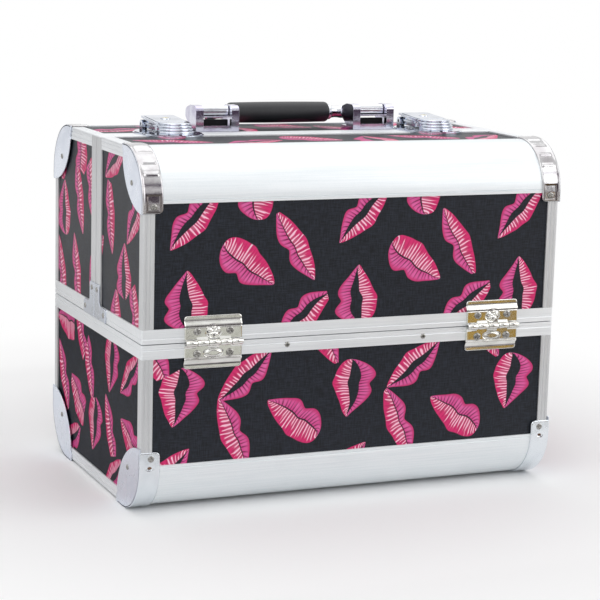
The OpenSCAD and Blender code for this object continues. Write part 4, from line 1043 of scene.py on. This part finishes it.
gripSkin = grainMaterial("gripSkin", **gripLook)
chrome = chromeMaterial("brightChrome", **chromeLook)
makePiece("handleBrackets", leftAndRight(bracket()), "rear_lid", ["handle_brackets"], "chrome",
          chromeMaterial("bracketChrome", **bracketLook), bevel=0.55)
rodEnd = bail.gripHalf + bail.rodMore
rod = roundGrip([(0.0, -rodEnd), (bail.rodR, -rodEnd), (bail.rodR, rodEnd), (0.0, rodEnd)], 24)
bailShape = joined([leftAndRight(bailEnd()), rod])
makePiece("handleBail", bailShape, "handle", ["handle_bail"], "chrome", chrome, bevel=0.4)
makePiece("handleGrip", roundGrip(gripShape(), 56), "handle", ["handle_grip"], "grip", gripSkin, smooth=60)
# a rest pad of black rubber under each barrel: a block with round upper edges that stands on the board
padOutline = roundedBox(pad.y0, pad.y1, 0.0, pad.high, [0.1, 0.1, pad.edge, pad.edge], 5)
makePiece("handleRestPads", leftAndRight(moved(prism(padOutline, pad.x0, pad.x1), (0, 0, case.top - case.alu))),
          "rear_lid", [], "grip", grainMaterial("padRubber", **padLook), bevel=0.3)

print("solids that stay")
slotFinish = dict(
    floor_board=grainMaterial("floorBoard", "1b1b1f", "292a2f", 0.6, scale=800.0, bump=0.3),
    lining=grainMaterial("liningFlock", "17171a", "242429", 0.9, scale=2400.0, bump=0.6, specular=0.2),
    tray=grainMaterial("trayPlastic", "1d1e22", "2a2b30", 0.45, scale=1100.0, bump=0.4),
    satin_aluminium=aluX, chrome=chrome, brass=brass, grip=gripSkin, steel=steel)
for subpart in frame["record"]["subparts"]:
    materials = frame["nodes"][subpart["node"]].data.materials
    materials.clear()
    materials.append(nodeFinish.get(subpart["node"]) or slotFinish[subpart["material_slot"]])

print("stage")
stage = Settings(reach=30.0, plainFrom=0.22, plainTo=0.58, floor=(0.93, 0.93, 0.935), diffuseSky=0.5, seenSky=1.0)


# 1 for a ray that comes from the camera or from a mirroring or clear surface, 0 for light on a dull one
def seenRay(net):
    rays = net.node("ShaderNodeLightPath", out=["Is Camera Ray", "Is Glossy Ray", "Is Transmission Ray"])
    return rays[0].max(rays[1]).max(rays[2])


# a flat rectangle of the stage, of some size (x, y), turned by a matrix about its middle
def stagePanel(name, at, size, face, net):
    corners = [Vector(at) + face @ Vector((i * size[0] / 2, j * size[1] / 2, 0))
               for i, j in ((-1, -1), (1, -1), (1, 1), (-1, 1))]
    mesh = bpy.data.meshes.new(name)
    mesh.from_pydata([tuple(c) for c in corners], [], [(0, 1, 2, 3)])
    mesh.materials.append(net.owner)
    panel = added(name, mesh)
    return panel


level = Matrix.Identity(3)
floorNet = Net("paleFloor")
floorNet.set(color=stage.floor, roughness=0.75, specular=0.15)
plainness = seenRay(floorNet) * floorNet.length(floorNet.place()).ramp(stage.plainFrom, stage.plainTo)
paleShader = Wire(floorNet, floorNet.nodes["Principled BSDF"].outputs[0])
floorNet.surface(floorNet.node("ShaderNodeMixShader", {}, [plainness, paleShader, floorNet.glow((1, 1, 1))]))
stagePanel("floor", (0, 0, 0), (2 * stage.reach, 2 * stage.reach), level, floorNet)

scene = bpy.context.scene
scene.world = bpy.data.worlds.new("studio")
skyNet = Net("studio", scene.world)
background = skyNet.nodes["Background"]
skyNet.plug(background.inputs["Color"], (1, 1, 1))
skyNet.plug(background.inputs["Strength"], stage.diffuseSky + seenRay(skyNet) * (stage.seenSky - stage.diffuseSky))

# Glowing boards that only the polished metal mirrors, which set dark and tinted reflections in it: (place, size,
# tone). Some stand far off and face the case, others lie level and low round it.
standing = dict(
    left=((-2.6, -2.2, 0.9), (0.7, 2.4), (0.05, 0.04, 0.055)),
    right=((1.35, -3.4, 0.6), (1.3, 1.2), (0.07, 0.045, 0.07)),
    farRight=((2.9, -3.2, 0.5), (0.8, 0.9), (0.10, 0.09, 0.10)),
    back=((-1.3, 2.6, 0.55), (1.2, 0.9), (0.08, 0.07, 0.085)),
    above=((-0.6, -1.2, 2.8), (1.2, 0.35), (0.06, 0.055, 0.06)),
    frontHigh=((0.77, -1.76, 1.35), (1.6, 0.25), (0.12, 0.09, 0.14)))
lying = dict(
    frontLeft=((0.0, -0.66, 0.004), (0.55, 0.42), (0.64, 0.64, 0.59)),
    frontRight=((0.48, -0.66, 0.005), (0.36, 0.42), (0.42, 0.27, 0.06)),
    frontNear=((0.1, -0.35, 0.006), (1.1, 0.14), (0.05, 0.04, 0.05)),
    frontMid=((0.5, -1.0, 0.006), (1.5, 0.2), (0.06, 0.03, 0.045)),
    frontFarLeft=((0.36, -1.56, 0.005), (0.4, 0.34), (0.50, 0.48, 0.40)),
    frontFarRight=((1.06, -1.56, 0.005), (0.6, 0.34), (0.36, 0.22, 0.05)),
    frontEnd=((1.0, -2.2, 0.006), (2.6, 0.8), (0.17, 0.11, 0.14)),
    rear=((0.0, 0.66, 0.004), (0.9, 0.42), (0.40, 0.39, 0.37)),
    rearNear=((0.0, 0.36, 0.006), (1.1, 0.05), (0.05, 0.04, 0.05)))
boardAim = Vector((0, 0, 0.15))
for name, (at, size, tone) in (standing | lying).items():
    face = (boardAim - Vector(at)).to_track_quat("Z", "Y").to_matrix() if name in standing else level
    boardNet = Net(name + "BoardGlow")
    boardNet.surface(boardNet.glow(tone))
    board = stagePanel(name + "Board", at, size, face, boardNet)
    board.visible_camera = board.visible_diffuse = board.visible_shadow = board.visible_transmission = False

# soft round lamps: (place, width, power)
lights = dict(
    key=((-1.3, -1.5, 1.7), 2.4, 17.8),
    fill=((1.6, -1.2, 0.9), 1.8, 11.5),
    top=((0.1, 0.3, 1.9), 2.6, 14.2))
lightAim = Vector((0, 0, 0.12))
for name, (at, size, power) in lights.items():
    lamp = bpy.data.lights.new(name, "AREA")
    lamp.shape, lamp.size, lamp.energy = "DISK", size, power
    holder = added(name, lamp)
    holder.location = at
    holder.rotation_euler = (lightAim - Vector(at)).to_track_quat("-Z", "Y").to_euler()

# angles in degrees; focal is the focal length in pixels of a square render, wide pixels across
view = Settings(
    at=(-0.57236, -1.31225, 0.39055), yaw=23.61, pitch=10.43, roll=-1.55, focal=1925.68, wide=600, sensor=36,
    farClip=30)
yaw, pitch, roll = (math.radians(view[k]) for k in ("yaw", "pitch", "roll"))
forward = Vector((math.sin(yaw) * math.cos(pitch), math.cos(yaw) * math.cos(pitch), -math.sin(pitch)))
flatRight = Vector((math.cos(yaw), -math.sin(yaw), 0))
down = forward.cross(flatRight)
right = flatRight * math.cos(roll) + down * math.sin(roll)
below = down * math.cos(roll) - flatRight * math.sin(roll)
camera = added("camera", bpy.data.cameras.new("camera"))
camera.matrix_world = Matrix.Translation(view.at) @ Matrix((right, -below, -forward)).transposed().to_4x4()
camera.data.sensor_width = view.sensor
camera.data.lens = view.focal / view.wide * view.sensor
camera.data.clip_end = view.farClip
scene.camera = camera
scene.view_settings.view_transform = "Standard"

bpy.context.view_layer.update()
print("finish")
